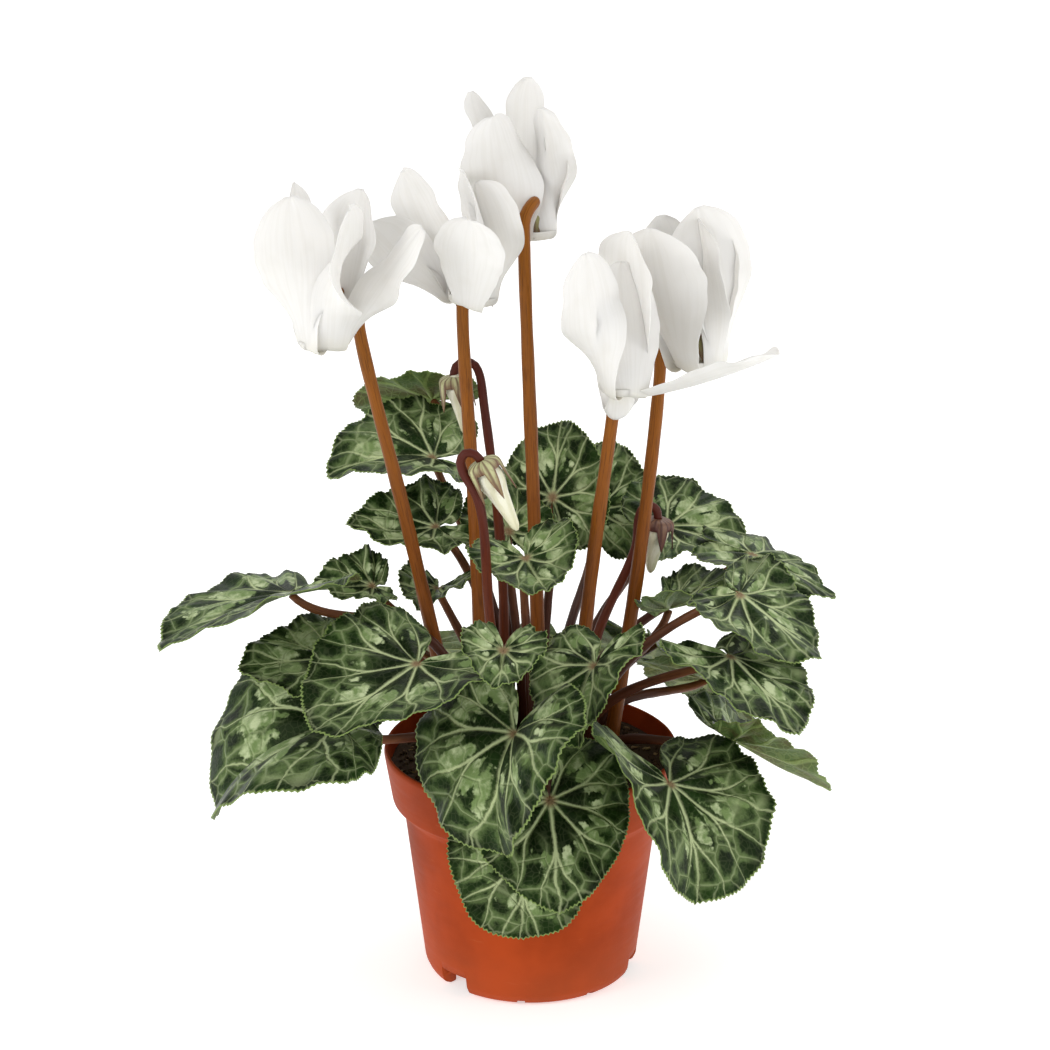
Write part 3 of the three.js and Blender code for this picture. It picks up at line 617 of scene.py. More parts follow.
# ------------------------------------------------------------------ meshes
class MeshBuilder:
    """Gathers the points and faces of one mesh, in millimetres.

    Each point has two readings that its finish can use: place and lay, three numbers
    each. What they hold is said where a surface is made.
    """

    def __init__(self) -> None:
        """Starts with no points and no faces."""
        self.points: list[np.ndarray] = []
        self.place: list[np.ndarray] = []
        self.lay: list[np.ndarray] = []
        self.faces: list[list[int]] = []
        self.slots: list[int] = []
        self.total = 0

    def add(
        self,
        points: np.ndarray,
        faces: Sequence[Sequence[int]],
        slot: int | Sequence[int] = 0,
        place: np.ndarray | None = None,
        lay: np.ndarray | None = None,
    ) -> None:
        """Adds some points and the faces on them.

        Args:
            points: n by 3.
            faces: corners of each face, counted from the first of these points.
            slot: the finish of the faces, one for all or one each.
            place: first reading, n by 3.
            lay: second reading, n by 3.
        """
        count = len(points)
        blank = np.zeros((count, 3))
        self.points.append(np.asarray(points, float))
        self.place.append(blank if place is None else np.asarray(place, float))
        self.lay.append(blank if lay is None else np.asarray(lay, float))
        self.faces.extend([int(i) + self.total for i in face] for face in faces)
        self.slots.extend([slot] * len(faces) if isinstance(slot, int) else slot)
        self.total += count

    def sheet(
        self,
        at: np.ndarray,
        normal: np.ndarray,
        thickness: np.ndarray | float,
        slots: tuple[int, int],
        place: np.ndarray,
        lay: np.ndarray,
        wrap: bool = False,
        capped: bool = False,
    ) -> None:
        """Adds a thin closed sheet round a grid of surface points.

        Args:
            at: rows by columns by 3, the middle of the sheet.
            normal: the same shape, out of the upper face.
            thickness: one for all, or rows by columns.
            slots: the finishes of the upper and of the lower face.
            place: first reading, rows by columns by 3.
            lay: second reading, rows by columns by 3.
            wrap: whether the last column joins on to the first.
            capped: whether the first row is closed with a face across it.
        """
        rows, columns, _ = at.shape
        count = rows * columns
        half = np.broadcast_to(np.asarray(thickness) / 2, (rows, columns))[..., None]
        points = np.concatenate(
            [(at + normal * half).reshape(-1, 3), (at - normal * half).reshape(-1, 3)]
        )
        upper = grid_faces(rows, columns, wrap)
        edge = [(c, (c + 1) % columns) for c in range(columns if wrap else columns - 1)]
        rim = [((rows - 1) * columns + a, (rows - 1) * columns + b) for a, b in edge]
        if not wrap:
            for r in range(rows - 1):
                rim.append((r * columns, (r + 1) * columns))
                rim.append(((r + 1) * columns - 1, (r + 2) * columns - 1))
        caps: list[list[int]] = []
        if capped:
            first = list(range(columns))
            caps = [first, [count + c for c in reversed(first)]]
            if not wrap:
                rim.append((0, columns - 1))
        else:
            rim.extend(edge)
        faces = [*upper, *([count + i for i in reversed(face)] for face in upper)]
        walls = [[a, b, b + count, a + count] for a, b in rim]
        marks = [slots[0]] * len(upper) + [slots[1]] * len(upper) + [slots[0]] * len(walls)
        marks += [slots[0], slots[1]][: len(caps)]
        self.add(
            points,
            [*faces, *walls, *caps],
            marks,
            np.concatenate([place.reshape(-1, 3)] * 2),
            np.concatenate([lay.reshape(-1, 3)] * 2),
        )

    def stalk(self, course: Course, size: StalkSize, slot: int, seed: float) -> None:
        """Adds a tapered round stalk.

        place is [cosine, sine round the stalk, tenths of the distance along it], and
        lay is [share of the length, seed, 0].

        Args:
            course: the line that the stalk follows.
            size: its radii, sides and steps.
            slot: its finish.
            seed: sets how the thickness wanders.
        """
        shares = np.linspace(0, 1, size.steps + 1)
        middle, first, second = course.frames(shares)
        radius = size.root_radius + (size.tip_radius - size.root_radius) * shares
        knots = 0.03 * np.sin(shares * 23 + seed) + 0.02 * np.sin(shares * 57 + seed)
        radius = radius * (1 + knots)
        radius = radius + size.swell * np.exp(-shares * course.length / size.swell_run)
        turn = np.linspace(0, 2 * np.pi, size.sides, endpoint=False)
        cos, sin = np.cos(turn)[None, :, None], np.sin(turn)[None, :, None]
        points = middle[:, None] + radius[:, None, None] * (
            cos * first[:, None] + sin * second[:, None]
        )
        run = np.broadcast_to(shares[:, None] * course.length / 10, points.shape[:2])
        place = np.stack([np.broadcast_to(v[..., 0], run.shape) for v in (cos, sin)] + [run], -1)
        lay = np.stack(
            [np.broadcast_to(shares[:, None], run.shape), np.full(run.shape, seed), 0 * run], -1
        )
        faces = tube_faces(size.steps + 1, size.sides)
        readings = place.reshape(-1, 3), lay.reshape(-1, 3)
        self.add(points.reshape(-1, 3), faces, slot, *readings)

    def transform(self, turn: np.ndarray, shift: Sequence[float]) -> None:
        """Turns and shifts all the points."""
        for k, batch in enumerate(self.points):
            self.points[k] = batch @ turn.T + np.asarray(shift, float)

    def make(self, name: str, materials: Sequence[bpy.types.Material]) -> bpy.types.Object:
        """Makes the mesh object, in metres, with its normals outwards and smooth.

        Args:
            name: the object's name.
            materials: the finishes, in the order of the slots.

        Returns:
            The new object.
        """
        mesh = bpy.data.meshes.new(name)
        points = np.concatenate(self.points) * MM
        corners = np.array([i for face in self.faces for i in face], np.int32)
        sizes = np.array([len(face) for face in self.faces], np.int32)
        mesh.vertices.add(len(points))
        mesh.vertices.foreach_set("co", points.astype(np.float32).ravel())
        mesh.loops.add(len(corners))
        mesh.loops.foreach_set("vertex_index", corners)
        mesh.polygons.add(len(sizes))
        starts = np.concatenate([[0], np.cumsum(sizes)[:-1]]).astype(np.int32)
        mesh.polygons.foreach_set("loop_start", starts)
        mesh.polygons.foreach_set("material_index", np.array(self.slots, np.int32))
        mesh.update(calc_edges=True)
        mesh.validate()
        for key, batches in (("place", self.place), ("lay", self.lay)):
            reading = mesh.attributes.new(key, "FLOAT_VECTOR", "POINT")
            reading.data.foreach_set("vector", np.concatenate(batches).astype(np.float32).ravel())
        work = bmesh.new()
        work.from_mesh(mesh)
        bmesh.ops.recalc_face_normals(work, faces=work.faces)
        work.to_mesh(mesh)
        work.free()
        mesh.polygons.foreach_set("use_smooth", np.ones(len(mesh.polygons), bool))
        for material in materials:
            mesh.materials.append(material)
        piece = bpy.data.objects.new(name, mesh)
        bpy.context.scene.collection.objects.link(piece)
        return piece


def grid_faces(rows: int, columns: int, wrap: bool) -> list[list[int]]:
    """Four-cornered faces over a grid of points.

    Args:
        rows: rows of points.
        columns: points in a row.
        wrap: whether the last column joins on to the first.

    Returns:
        The corners of each face.
    """
    r = np.arange(rows - 1)[:, None]
    c = np.arange(columns if wrap else columns - 1)[None, :]
    a, b = r * columns + c, r * columns + (c + 1) % columns
    return np.stack([a, b, b + columns, a + columns], -1).reshape(-1, 4).tolist()


def tube_faces(rows: int, columns: int) -> list[list[int]]:
    """Faces over rings of points, with a face across the first ring and the last.

    Args:
        rows: how many rings.
        columns: points in a ring.

    Returns:
        The corners of each face.
    """
    last = (rows - 1) * columns
    caps = [list(range(columns))[::-1], [last + k for k in range(columns)]]
    return [*grid_faces(rows, columns, True), *caps]


def ring_angles(sides: int) -> np.ndarray:
    """Angles round a ring, in radians."""
    return np.linspace(0, 2 * np.pi, sides, endpoint=False)


def rings(radius: np.ndarray, turn: np.ndarray, height: np.ndarray) -> np.ndarray:
    """Points round the vertical axis, in the shape of the radius."""
    return np.stack([radius * np.cos(turn), radius * np.sin(turn), height], -1)


def run_along(points: np.ndarray) -> np.ndarray:
    """Distance along a line of points, from 0 at the first."""
    return np.concatenate([[0], np.cumsum(np.linalg.norm(np.diff(points, axis=0), axis=1))])


def surface_normals(at: np.ndarray) -> np.ndarray:
    """Directions square to a grid of points: rows first, then columns."""
    return unit(np.cross(np.gradient(at, axis=0), np.gradient(at, axis=1)))


def rounded(profile: Sequence[tuple[float, float]], radius: float) -> np.ndarray:
    """A profile with its corners rounded and its long runs split.

    Args:
        profile: [radius, height] points.
        radius: the most that a corner is cut back.

    Returns:
        The new points, n by 2.
    """
    p = np.array(profile, float)
    out = [p[0]]
    for before, corner, after in zip(p, p[1:], p[2:]):
        runs = np.linalg.norm(before - corner), np.linalg.norm(after - corner)
        cut = min(radius, *(CORNER_SHARE * run for run in runs))
        a, b = corner + unit(before - corner) * cut, corner + unit(after - corner) * cut
        for t in np.linspace(0, 1, ARC_STEPS + 1):
            out.append((1 - t) ** 2 * a + 2 * t * (1 - t) * corner + t**2 * b)
    out.append(p[-1])
    dense = [out[0]]
    for a, b in zip(out, out[1:]):
        gap = float(np.linalg.norm(b - a))
        if gap > LONG_RUN:
            inset = min(RUN_INSET, gap / 4) / gap
            middle = np.linspace(inset, 1 - inset, max(2, round(gap / RUN_STEP)))
            dense.extend(a + (b - a) * t for t in middle)
        dense.append(b)
    return np.array(dense)


def lay_on(piece: bpy.types.Object, *nodes: str) -> None:
    """Shifts a piece so that its box has the middle of its CAD nodes' box.

    Args:
        piece: the new piece, at the origin.
        nodes: names of the CAD nodes that it stands for.
    """
    boxes = [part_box(node) for node in nodes]
    low = np.array([box[0] for box in boxes]).min(0)
    high = np.array([box[1] for box in boxes]).max(0)
    points = np.empty(len(piece.data.vertices) * 3, np.float32)
    piece.data.vertices.foreach_get("co", points)
    points = points.reshape(-1, 3)
    shift = (low + high) / 2 - (points.min(0) + points.max(0)) / 2
    excess = (points.max(0) - points.min(0)) - (high - low)
    piece.data.vertices.foreach_set("co", (points + shift).astype(np.float32).ravel())
    piece.data.update()
    LOG.info(
        "%s: %d faces, shift %s mm, larger by %s mm", piece.name, len(piece.data.polygons),
        np.round(shift / MM, 2), np.round(excess / MM, 2),
    )


def settle(piece: bpy.types.Object, slot: str, *nodes: str) -> bpy.types.Object:
    """Lays a piece on its CAD nodes, hangs it under the root body, and hides those nodes.

    Args:
        piece: the new piece, at the origin.
        slot: not used.
        nodes: names of the CAD nodes that it stands for.

    Returns:
        The piece.
    """
    lay_on(piece, *nodes)
    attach(piece, "root")
    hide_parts(*nodes)
    return piece


# ------------------------------------------------------------------ finishes
def srgb(code: str) -> tuple[float, float, float, float]:
    """A colour as a shader takes it.

    Args:
        code: the sRGB colour, as #rrggbb.

    Returns:
        The linear colour and its alpha.
    """
    parts = [int(code[k : k + 2], 16) / 255 for k in (1, 3, 5)]
    linear = [c / 12.92 if c <= 0.04045 else ((c + 0.055) / 1.055) ** 2.4 for c in parts]
    return (*linear, 1.0)


def calculation(operation: str) -> tuple[str, tuple[int, ...], int, dict[str, str]]:
    """What a kind of node that works out one number says of itself."""
    return "Math", (0, 1, 2), 0, {"operation": operation}


class Kind(Enum):
    """The nodes that the finishes are made of.

    Each says its type after "ShaderNode", the sockets that its inputs go to in order,
    its output, and its options.
    """

    PLACE = ("Attribute", (), "Vector", {"attribute_name": "place"})
    LAY = ("Attribute", (), "Vector", {"attribute_name": "lay"})
    SPOT = ("TexCoord", (), "Object", {})
    SPLIT = ("SeparateXYZ", ("Vector",), slice(3), {})
    JOIN = ("CombineXYZ", ("X", "Y", "Z"), 0, {})
    SHIFT = ("VectorMath", (0, 1), 0, {"operation": "ADD"})
    ABSOLUTE = calculation("ABSOLUTE")
    ADD = calculation("ADD")
    DIVIDE = calculation("DIVIDE")
    FRACT = calculation("FRACT")
    MAXIMUM = calculation("MAXIMUM")
    MINIMUM = calculation("MINIMUM")
    MULTIPLY = calculation("MULTIPLY")
    MULTIPLY_ADD = calculation("MULTIPLY_ADD")
    ROUND = calculation("ROUND")
    SQRT = calculation("SQRT")
    SUBTRACT = calculation("SUBTRACT")
    RISE = ("MapRange", (0, 1, 2), 0, {"interpolation_type": "SMOOTHSTEP"})
    CLOUD = ("TexNoise", ("Vector", "Scale", "Detail", "Roughness"), 0, {})
    CELLS = ("TexVoronoi", ("Vector", "Scale"), "Distance", {"feature": "DISTANCE_TO_EDGE"})
    MIX = ("Mix", (0, 6, 7), 2, {"data_type": "RGBA"})
    BUMP = ("Bump", ("Height", "Distance", "Strength"), 0, {})


class Shader:
    """One material being made, node by node."""

    def __init__(self, name: str) -> None:
        """Starts an empty material.

        Args:
            name: its name.
        """
        self.material = bpy.data.materials.new(name)
        self.material.use_nodes = True
        self.tree = self.material.node_tree
        self.tree.nodes.clear()

    def add(self, kind: Kind, *inputs: Any, **settings: Any) -> Any:
        """Adds a node with its settings and links.

        Args:
            kind: what the node does.
            inputs: a value or another node's output for its sockets, in the kind's order.
            settings: options of this one node.

        Returns:
            The output that its kind names, or all of them for a split.
        """
        node_type, sockets, output, options = kind.value
        node = self.tree.nodes.new(f"ShaderNode{node_type}")
        for key, value in {**options, **settings}.items():
            setattr(node, key, value)
        self.fill(node, dict(zip(sockets, inputs)))
        return node.outputs[output]

    def fill(self, node: bpy.types.Node, inputs: dict[Any, Any]) -> None:
        """Gives a node's sockets their values and links.

        Args:
            node: the node.
            inputs: a value or another node's output, by socket.
        """
        for key, value in inputs.items():
            if isinstance(value, bpy.types.NodeSocket):
                self.tree.links.new(value, node.inputs[key])
            else:
                node.inputs[key].default_value = value

    def fall(self, value: Any, low: float, high: float) -> bpy.types.NodeSocket:
        """The smooth fall from 1 at low to 0 at high."""
        return self.add(Kind.SUBTRACT, 1, self.add(Kind.RISE, value, low, high), use_clamp=True)

    def sway(self, *cloud: Any) -> bpy.types.NodeSocket:
        """Soft noise about zero, from the inputs of a cloud."""
        return self.add(Kind.SUBTRACT, self.add(Kind.CLOUD, *cloud), 0.5)

    def tint(self, under: Any, code: str, mask: Any, share: Any) -> bpy.types.NodeSocket:
        """A colour laid over another.

        Args:
            under: the colour below.
            code: the colour on top, as #rrggbb.
            mask: where it lies, from 0 to 1.
            share: how much of it shows where the mask is full.

        Returns:
            The colour that results.
        """
        return self.add(Kind.MIX, self.add(Kind.MULTIPLY, mask, share), under, srgb(code))

    def surface(self, **inputs: Any) -> bpy.types.Material:
        """Ends the material with its surface.

        Args:
            inputs: what the surface's sockets get, with _ for a space in their names.

        Returns:
            The material.
        """
        body = self.tree.nodes.new("ShaderNodeBsdfPrincipled")
        self.fill(body, {key.replace("_", " "): value for key, value in inputs.items()})
        end = self.tree.nodes.new("ShaderNodeOutputMaterial")
        self.fill(end, {"Surface": body.outputs[0]})
        return self.material


@dataclass(frozen=True)
class LeafFinish:
    """The upper face of a blade: dark green with pale veins and silver marbling.

    A living leaf is smooth and waxy, so it shines a little, and its veins lie sunk.
    place is [x, y, seed] on the flat blade in millimetres; lay is [angle in vein
    steps, share of the way to the margin, millimetres from the joint]. A scale counts
    waves or cells in a millimetre, a pair is where something starts and is whole, and
    a share says how much of a colour shows.
    """

    name: str = "leaf_upper"
    dark: str = "#0e1b08"
    mid: str = "#1f3512"
    silver: str = "#788e58"
    bright: str = "#ced9ac"
    vein: str = "#c5d19e"
    tooth: str = "#8a9f5c"
    joint: str = "#7a4a36"
    sheen: str = "#a9c08e"
    wander_scale: float = 0.05
    kink_scale: float = 0.2
    torn_scale: float = 0.3
    grain_scale: float = 0.95
    tone_scale: float = 0.06
    light_scale: float = 0.16
    pore_scale: float = 0.9
    loop_scale: float = 0.1
    net_scale: float = 0.5
    vein_width: float = 1.25
    vein_taper: float = 0.8
    vein_fray: float = 0.9
    fork_from: tuple[float, float] = (0.36, 0.9)
    fork_width: float = 0.29
    midrib_share: float = 0.8
    loop_width: float = 0.06
    loop_bow: tuple[float, float] = (7.0, 3.5)
    patch_at: float = 0.55
    patch_off: float = 0.3
    patch_size: float = 0.27
    patch_torn: float = 1.7
    patch_own: float = 1.6
    patch_drift: float = 2.2
    patch_edge: tuple[float, float] = (0.32, 0.62)
    silver_share: float = 0.92
    bright_share: float = 0.85
    feather_share: float = 0.5
    loop_share: float = 0.24
    net_share: float = 0.03
    vein_share: float = 0.88
    vein_fade: float = 0.45
    tooth_share: float = 0.85
    joint_share: float = 0.8
    relief: float = 0.45

    def build(self) -> bpy.types.Material:
        """Makes the material.

        Returns:
            The finished material.
        """
        s = BladeShader(self)
        main = s.main_veins()
        loops, loop, net = s.side_veins()
        silver = s.marbling()
        feather = s.feathering(loops)
        tone = s.add(Kind.CLOUD, s.place, self.tone_scale, 3, 0.6)
        light_tone = s.add(Kind.RISE, tone, 0.38, 0.68)
        colour = s.add(Kind.MIX, light_tone, srgb(self.dark), srgb(self.mid))
        colour = s.tint(colour, self.silver, silver, self.silver_share)
        light = s.add(Kind.CLOUD, s.place, self.light_scale, 2, 0.6)
        light = s.add(Kind.RISE, s.add(Kind.MULTIPLY_ADD, s.grain, 0.25, light), 0.42, 0.66)
        light = s.add(Kind.MULTIPLY, light, self.bright_share)
        colour = s.tint(colour, self.bright, silver, light)
        colour = s.tint(colour, self.silver, feather, self.feather_share)
        colour = s.tint(colour, self.vein, net, self.net_share)
        colour = s.tint(colour, self.vein, loop, self.loop_share)
        far = s.add(Kind.RISE, s.share, 0.45, 0.95)
        strength = s.add(Kind.MULTIPLY_ADD, far, -self.vein_fade, self.vein_share)
        colour = s.tint(colour, self.vein, main, strength)
        rim = s.add(Kind.RISE, s.add(Kind.MULTIPLY_ADD, s.grain, 0.03, s.share), 0.978, 0.998)
        colour = s.tint(colour, self.tooth, rim, self.tooth_share)
        colour = s.tint(colour, self.joint, s.fall(s.reach, 0.8, 3.2), self.joint_share)
        height = s.add(Kind.MULTIPLY_ADD, main, -1.3, s.add(Kind.MULTIPLY, loop, -0.8))
        height = s.add(Kind.MULTIPLY_ADD, net, -0.06, height)
        pores = s.add(Kind.CLOUD, s.place, self.pore_scale, 3)
        height = s.add(Kind.MULTIPLY_ADD, pores, 0.35, height)
        rough = s.add(Kind.MULTIPLY_ADD, tone, 0.2, 0.3)
        return s.surface(
            Base_Color=colour, Roughness=rough,
            Normal=s.add(Kind.BUMP, height, self.relief * MM, 0.9),
            Specular_IOR_Level=0.18, Specular_Tint=srgb(self.sheen),
        )


class BladeShader(Shader):
    """The upper face of a blade being made, with the readings that its steps share."""

    def __init__(self, finish: LeafFinish) -> None:
        """Starts with the readings, and with the noise that bends and frays the pattern.

        Args:
            finish: its colours and sizes.
        """
        super().__init__(finish.name)
        self.finish = finish
        self.place, lay = self.add(Kind.PLACE), self.add(Kind.LAY)
        self.turn, self.share, self.reach = self.add(Kind.SPLIT, lay)
        self.seed = self.add(Kind.SPLIT, self.place)[2]
        self.wander = self.sway(self.place, finish.wander_scale, 1)
        self.kink = self.sway(self.place, finish.kink_scale, 1)
        self.torn = self.sway(self.place, finish.torn_scale, 3, 0.6)
        self.grain = self.sway(self.place, finish.grain_scale, 2, 0.6)
        bent = self.add(Kind.MULTIPLY_ADD, self.wander, 0.3, self.turn)
        self.bent = self.add(Kind.MULTIPLY_ADD, self.kink, 0.07, bent)
        off = self.add(Kind.SUBTRACT, self.bent, self.add(Kind.ROUND, self.bent))
        self.off = self.add(Kind.ABSOLUTE, off)

    def main_veins(self) -> bpy.types.NodeSocket:
        """The main veins, which fork towards the margin and grow thin.

        Returns:
            1 on a vein and 0 off it.
        """
        f, step = self.finish, math.radians(VEIN_STEP)
        far = self.add(Kind.RISE, self.share, *f.fork_from)
        fork = self.add(Kind.MULTIPLY, far, f.fork_width)
        aside = self.add(Kind.ABSOLUTE, self.add(Kind.SUBTRACT, self.off, fork))
        aside = self.add(Kind.MULTIPLY, aside, self.reach)
        aside = self.add(Kind.MULTIPLY, aside, step)
        midrib = self.add(Kind.MULTIPLY, self.add(Kind.ABSOLUTE, self.bent), self.reach)
        midrib = self.add(Kind.MULTIPLY, midrib, step)
        midrib = self.add(Kind.MULTIPLY, midrib, f.midrib_share)
        self.aside = self.add(Kind.MINIMUM, aside, midrib)
        width = self.add(Kind.MULTIPLY_ADD, self.share, -f.vein_taper, f.vein_width)
        width = self.add(Kind.MULTIPLY_ADD, self.grain, f.vein_fray, width)
        return self.fall(self.add(Kind.DIVIDE, self.aside, width), 0.2, 1.0)

    def side_veins(self) -> tuple[bpy.types.NodeSocket, ...]:
        """The loops of side veins and the fine net.

        Returns:
            How far a point is from a loop, 1 on a loop, and 1 on the net.
        """
        f = self.finish
        bow = [self.add(Kind.MULTIPLY, self.wander, f.loop_bow[0])]
        bow.append(self.add(Kind.MULTIPLY, self.kink, f.loop_bow[1]))
        shift = self.add(Kind.SHIFT, self.place, self.add(Kind.JOIN, *bow, 0))
        cells = self.add(Kind.CELLS, shift, f.loop_scale)
        loops = self.add(Kind.MULTIPLY_ADD, self.torn, 0.05, cells)
        loop = self.fall(loops, 0.0, f.loop_width)
        loop = self.add(Kind.MULTIPLY, loop, self.add(Kind.RISE, self.share, 0.3, 0.55))
        net = self.fall(self.add(Kind.CELLS, self.place, f.net_scale), 0.02, 0.12)
        return loops, loop, net

    def marbling(self) -> bpy.types.NodeSocket:
        """The silver patches between the veins, half way out, each a little different.

        Returns:
            1 in a patch and 0 outside.
        """
        f = self.finish
        sector = self.add(Kind.MULTIPLY, self.add(Kind.ROUND, self.bent), 7.3)
        sector = self.add(Kind.CLOUD, self.add(Kind.JOIN, sector, self.seed, 0), 1, 0)
        across = self.add(Kind.SUBTRACT, self.off, f.patch_off)
        across = self.add(Kind.DIVIDE, across, f.patch_size)
        out = self.add(Kind.SUBTRACT, self.share, f.patch_at)
        out = self.add(Kind.DIVIDE, out, f.patch_size)
        spread = self.add(Kind.MULTIPLY, out, out)
        spread = self.add(Kind.MULTIPLY_ADD, across, across, spread)
        spread = self.add(Kind.SUBTRACT, 1, self.add(Kind.SQRT, spread))
        blob = self.add(Kind.MULTIPLY_ADD, self.torn, f.patch_torn, spread)
        own = self.add(Kind.SUBTRACT, sector, 0.5)
        blob = self.add(Kind.MULTIPLY_ADD, own, f.patch_own, blob)
        drift = self.sway(self.place, f.tone_scale, 1)
        blob = self.add(Kind.MULTIPLY_ADD, drift, f.patch_drift, blob)
        return self.add(Kind.RISE, blob, *f.patch_edge)

    def feathering(self, loops: bpy.types.NodeSocket) -> bpy.types.NodeSocket:
        """The pale feathering along the veins, stronger towards the margin.

        Args:
            loops: how far a point is from a loop of side veins, in cells.

        Returns:
            1 beside a vein and 0 away from it.
        """
        near_loop = self.add(Kind.MULTIPLY, self.add(Kind.MAXIMUM, loops, 0), 9)
        close = self.add(Kind.MINIMUM, self.aside, near_loop)
        feather = self.fall(self.add(Kind.MULTIPLY_ADD, self.torn, 3.2, close), 0.2, 1.9)
        feather = self.add(Kind.MULTIPLY, feather, self.add(Kind.RISE, self.share, 0.3, 0.62))
        return self.add(Kind.MULTIPLY, feather, self.fall(self.share, 0.86, 0.97))


@dataclass(frozen=True)
class UndersideFinish:
    """The lower face of a blade: matt, with raised veins. Readings as on the upper face."""

    name: str = "leaf_under"
    green: str = "#506a30"
    blush: str = "#5e3a2c"
    vein: str = "#869a56"
    blush_scale: float = 0.06
    net_scale: float = 0.4
    fork_from: tuple[float, float] = (0.5, 0.98)
    fork_width: float = 0.27
    relief: float = 0.4

    def build(self) -> bpy.types.Material:
        """Makes the material.

        Returns:
            The finished material.
        """
        s = Shader(self.name)
        place, lay = s.add(Kind.PLACE), s.add(Kind.LAY)
        turn, share, reach = s.add(Kind.SPLIT, lay)
        off = s.add(Kind.ABSOLUTE, s.add(Kind.SUBTRACT, turn, s.add(Kind.ROUND, turn)))
        fork = s.add(Kind.MULTIPLY, s.add(Kind.RISE, share, *self.fork_from), self.fork_width)
        aside = s.add(Kind.ABSOLUTE, s.add(Kind.SUBTRACT, off, fork))
        main = s.fall(s.add(Kind.MULTIPLY, aside, reach), 0.5, 1.7)
        net = s.fall(s.add(Kind.CELLS, place, self.net_scale), 0.02, 0.12)
        blush = s.add(Kind.RISE, s.add(Kind.CLOUD, place, self.blush_scale, 3), 0.45, 0.7)
        colour = s.tint(srgb(self.green), self.blush, blush, 0.55)
        colour = s.tint(colour, self.vein, net, 0.3)
        colour = s.tint(colour, self.vein, main, 0.7)
        height = s.add(Kind.MULTIPLY_ADD, net, 0.35, main)
        relief = s.add(Kind.BUMP, height, self.relief * MM, 0.8)
        return s.surface(Base_Color=colour, Roughness=0.6, Normal=relief)


@dataclass(frozen=True)
class StalkFinish:
    """A smooth stalk with lengthwise streaks, from one colour at its foot to another.

    place is [cosine, sine round the stalk, tenths of the distance along it]; lay is
    [share of the length, seed, 0]. Streaks are drawn out along the stalk.
    """

    name: str
    foot: str
    top: str
    streak: str
    turn_at: tuple[float, float] = (0.3, 0.95)
    roughness: float = 0.42
    streak_scale: float = 6.5
    streak_stretch: float = 0.16
    patch_scale: float = 0.9
    relief: float = 0.15

    def build(self) -> bpy.types.Material:
        """Makes the material.

        Returns:
            The finished material.
        """
        s = Shader(self.name)
        place, lay = s.add(Kind.PLACE), s.add(Kind.LAY)
        share, seed, _ = s.add(Kind.SPLIT, lay)
        x, y, run = s.add(Kind.SPLIT, place)
        drawn_out = s.add(Kind.MULTIPLY_ADD, run, self.streak_stretch, seed)
        drawn_out = s.add(Kind.JOIN, x, y, drawn_out)
        streak = s.add(Kind.CLOUD, drawn_out, self.streak_scale, 4, 0.62)
        round_it = s.add(Kind.JOIN, x, y, s.add(Kind.ADD, run, seed))
        patch = s.sway(round_it, self.patch_scale, 3, 0.55)
        along = s.add(Kind.MULTIPLY_ADD, patch, 0.5, share)
        along = s.add(Kind.RISE, along, *self.turn_at)
        colour = s.add(Kind.MIX, along, srgb(self.foot), srgb(self.top))
        colour = s.tint(colour, self.streak, s.add(Kind.RISE, streak, 0.48, 0.66), 0.55)
        rough = s.add(Kind.MULTIPLY_ADD, streak, 0.2, self.roughness - 0.1)
        return s.surface(
            Base_Color=colour, Roughness=rough,
            Normal=s.add(Kind.BUMP, streak, self.relief * MM, 0.5), Specular_IOR_Level=0.2,
        )


@dataclass(frozen=True)
class PetalFinish:
    """A thin white petal, soft as paper, that lets a little light through.

    place is [across, along, seed], from -1 to 1 and from 0 to 1; lay is the same in
    millimetres. Fine lines run along it.
    """

    name: str = "petal"
    white: str = "#e9e7e3"
    shade: str = "#dcd9d2"
    # throat: a greyer beige at the petal's foot and on the tube and collar. It is partly the
    # throat's own colour and partly painted shade where the petals turn into the mouth.
    throat: str = "#d2cdbb"
    lines: tuple[float, float] = (9.0, 1.6)
    patch_scale: float = 1.3
    relief: float = 0.05

    def build(self) -> bpy.types.Material:
        """Makes the material.

        Returns:
            The finished material.
        """
        s = Shader(self.name)
        across, along, seed = s.add(Kind.SPLIT, s.add(Kind.PLACE))
        fine = [s.add(Kind.MULTIPLY, across, self.lines[0])]
        fine.append(s.add(Kind.MULTIPLY, along, self.lines[1]))
        lines = s.add(Kind.CLOUD, s.add(Kind.JOIN, *fine, seed), 1, 3, 0.55)
        broad = s.add(Kind.JOIN, across, s.add(Kind.MULTIPLY, along, 3), seed)
        patch = s.add(Kind.CLOUD, broad, self.patch_scale, 2)
        lined = s.add(Kind.RISE, lines, 0.45, 0.62)
        colour = s.tint(srgb(self.white), self.shade, lined, 0.25)
        colour = s.tint(colour, self.shade, s.add(Kind.RISE, patch, 0.5, 0.75), 0.35)
        # painted shade in part: the throat colour darkens the petal towards its foot
        colour = s.tint(colour, self.throat, s.fall(along, 0.02, 0.2), 0.6)
        return s.surface(
            Base_Color=colour, Roughness=0.5,
            Normal=s.add(Kind.BUMP, lines, self.relief * MM, 0.4),
            Subsurface_Weight=0.35, Subsurface_Radius=(1.0, 0.95, 0.85),
            Subsurface_Scale=2 * MM, Sheen_Weight=0.1, Sheen_Roughness=0.5,
            Specular_IOR_Level=0.35,
        )


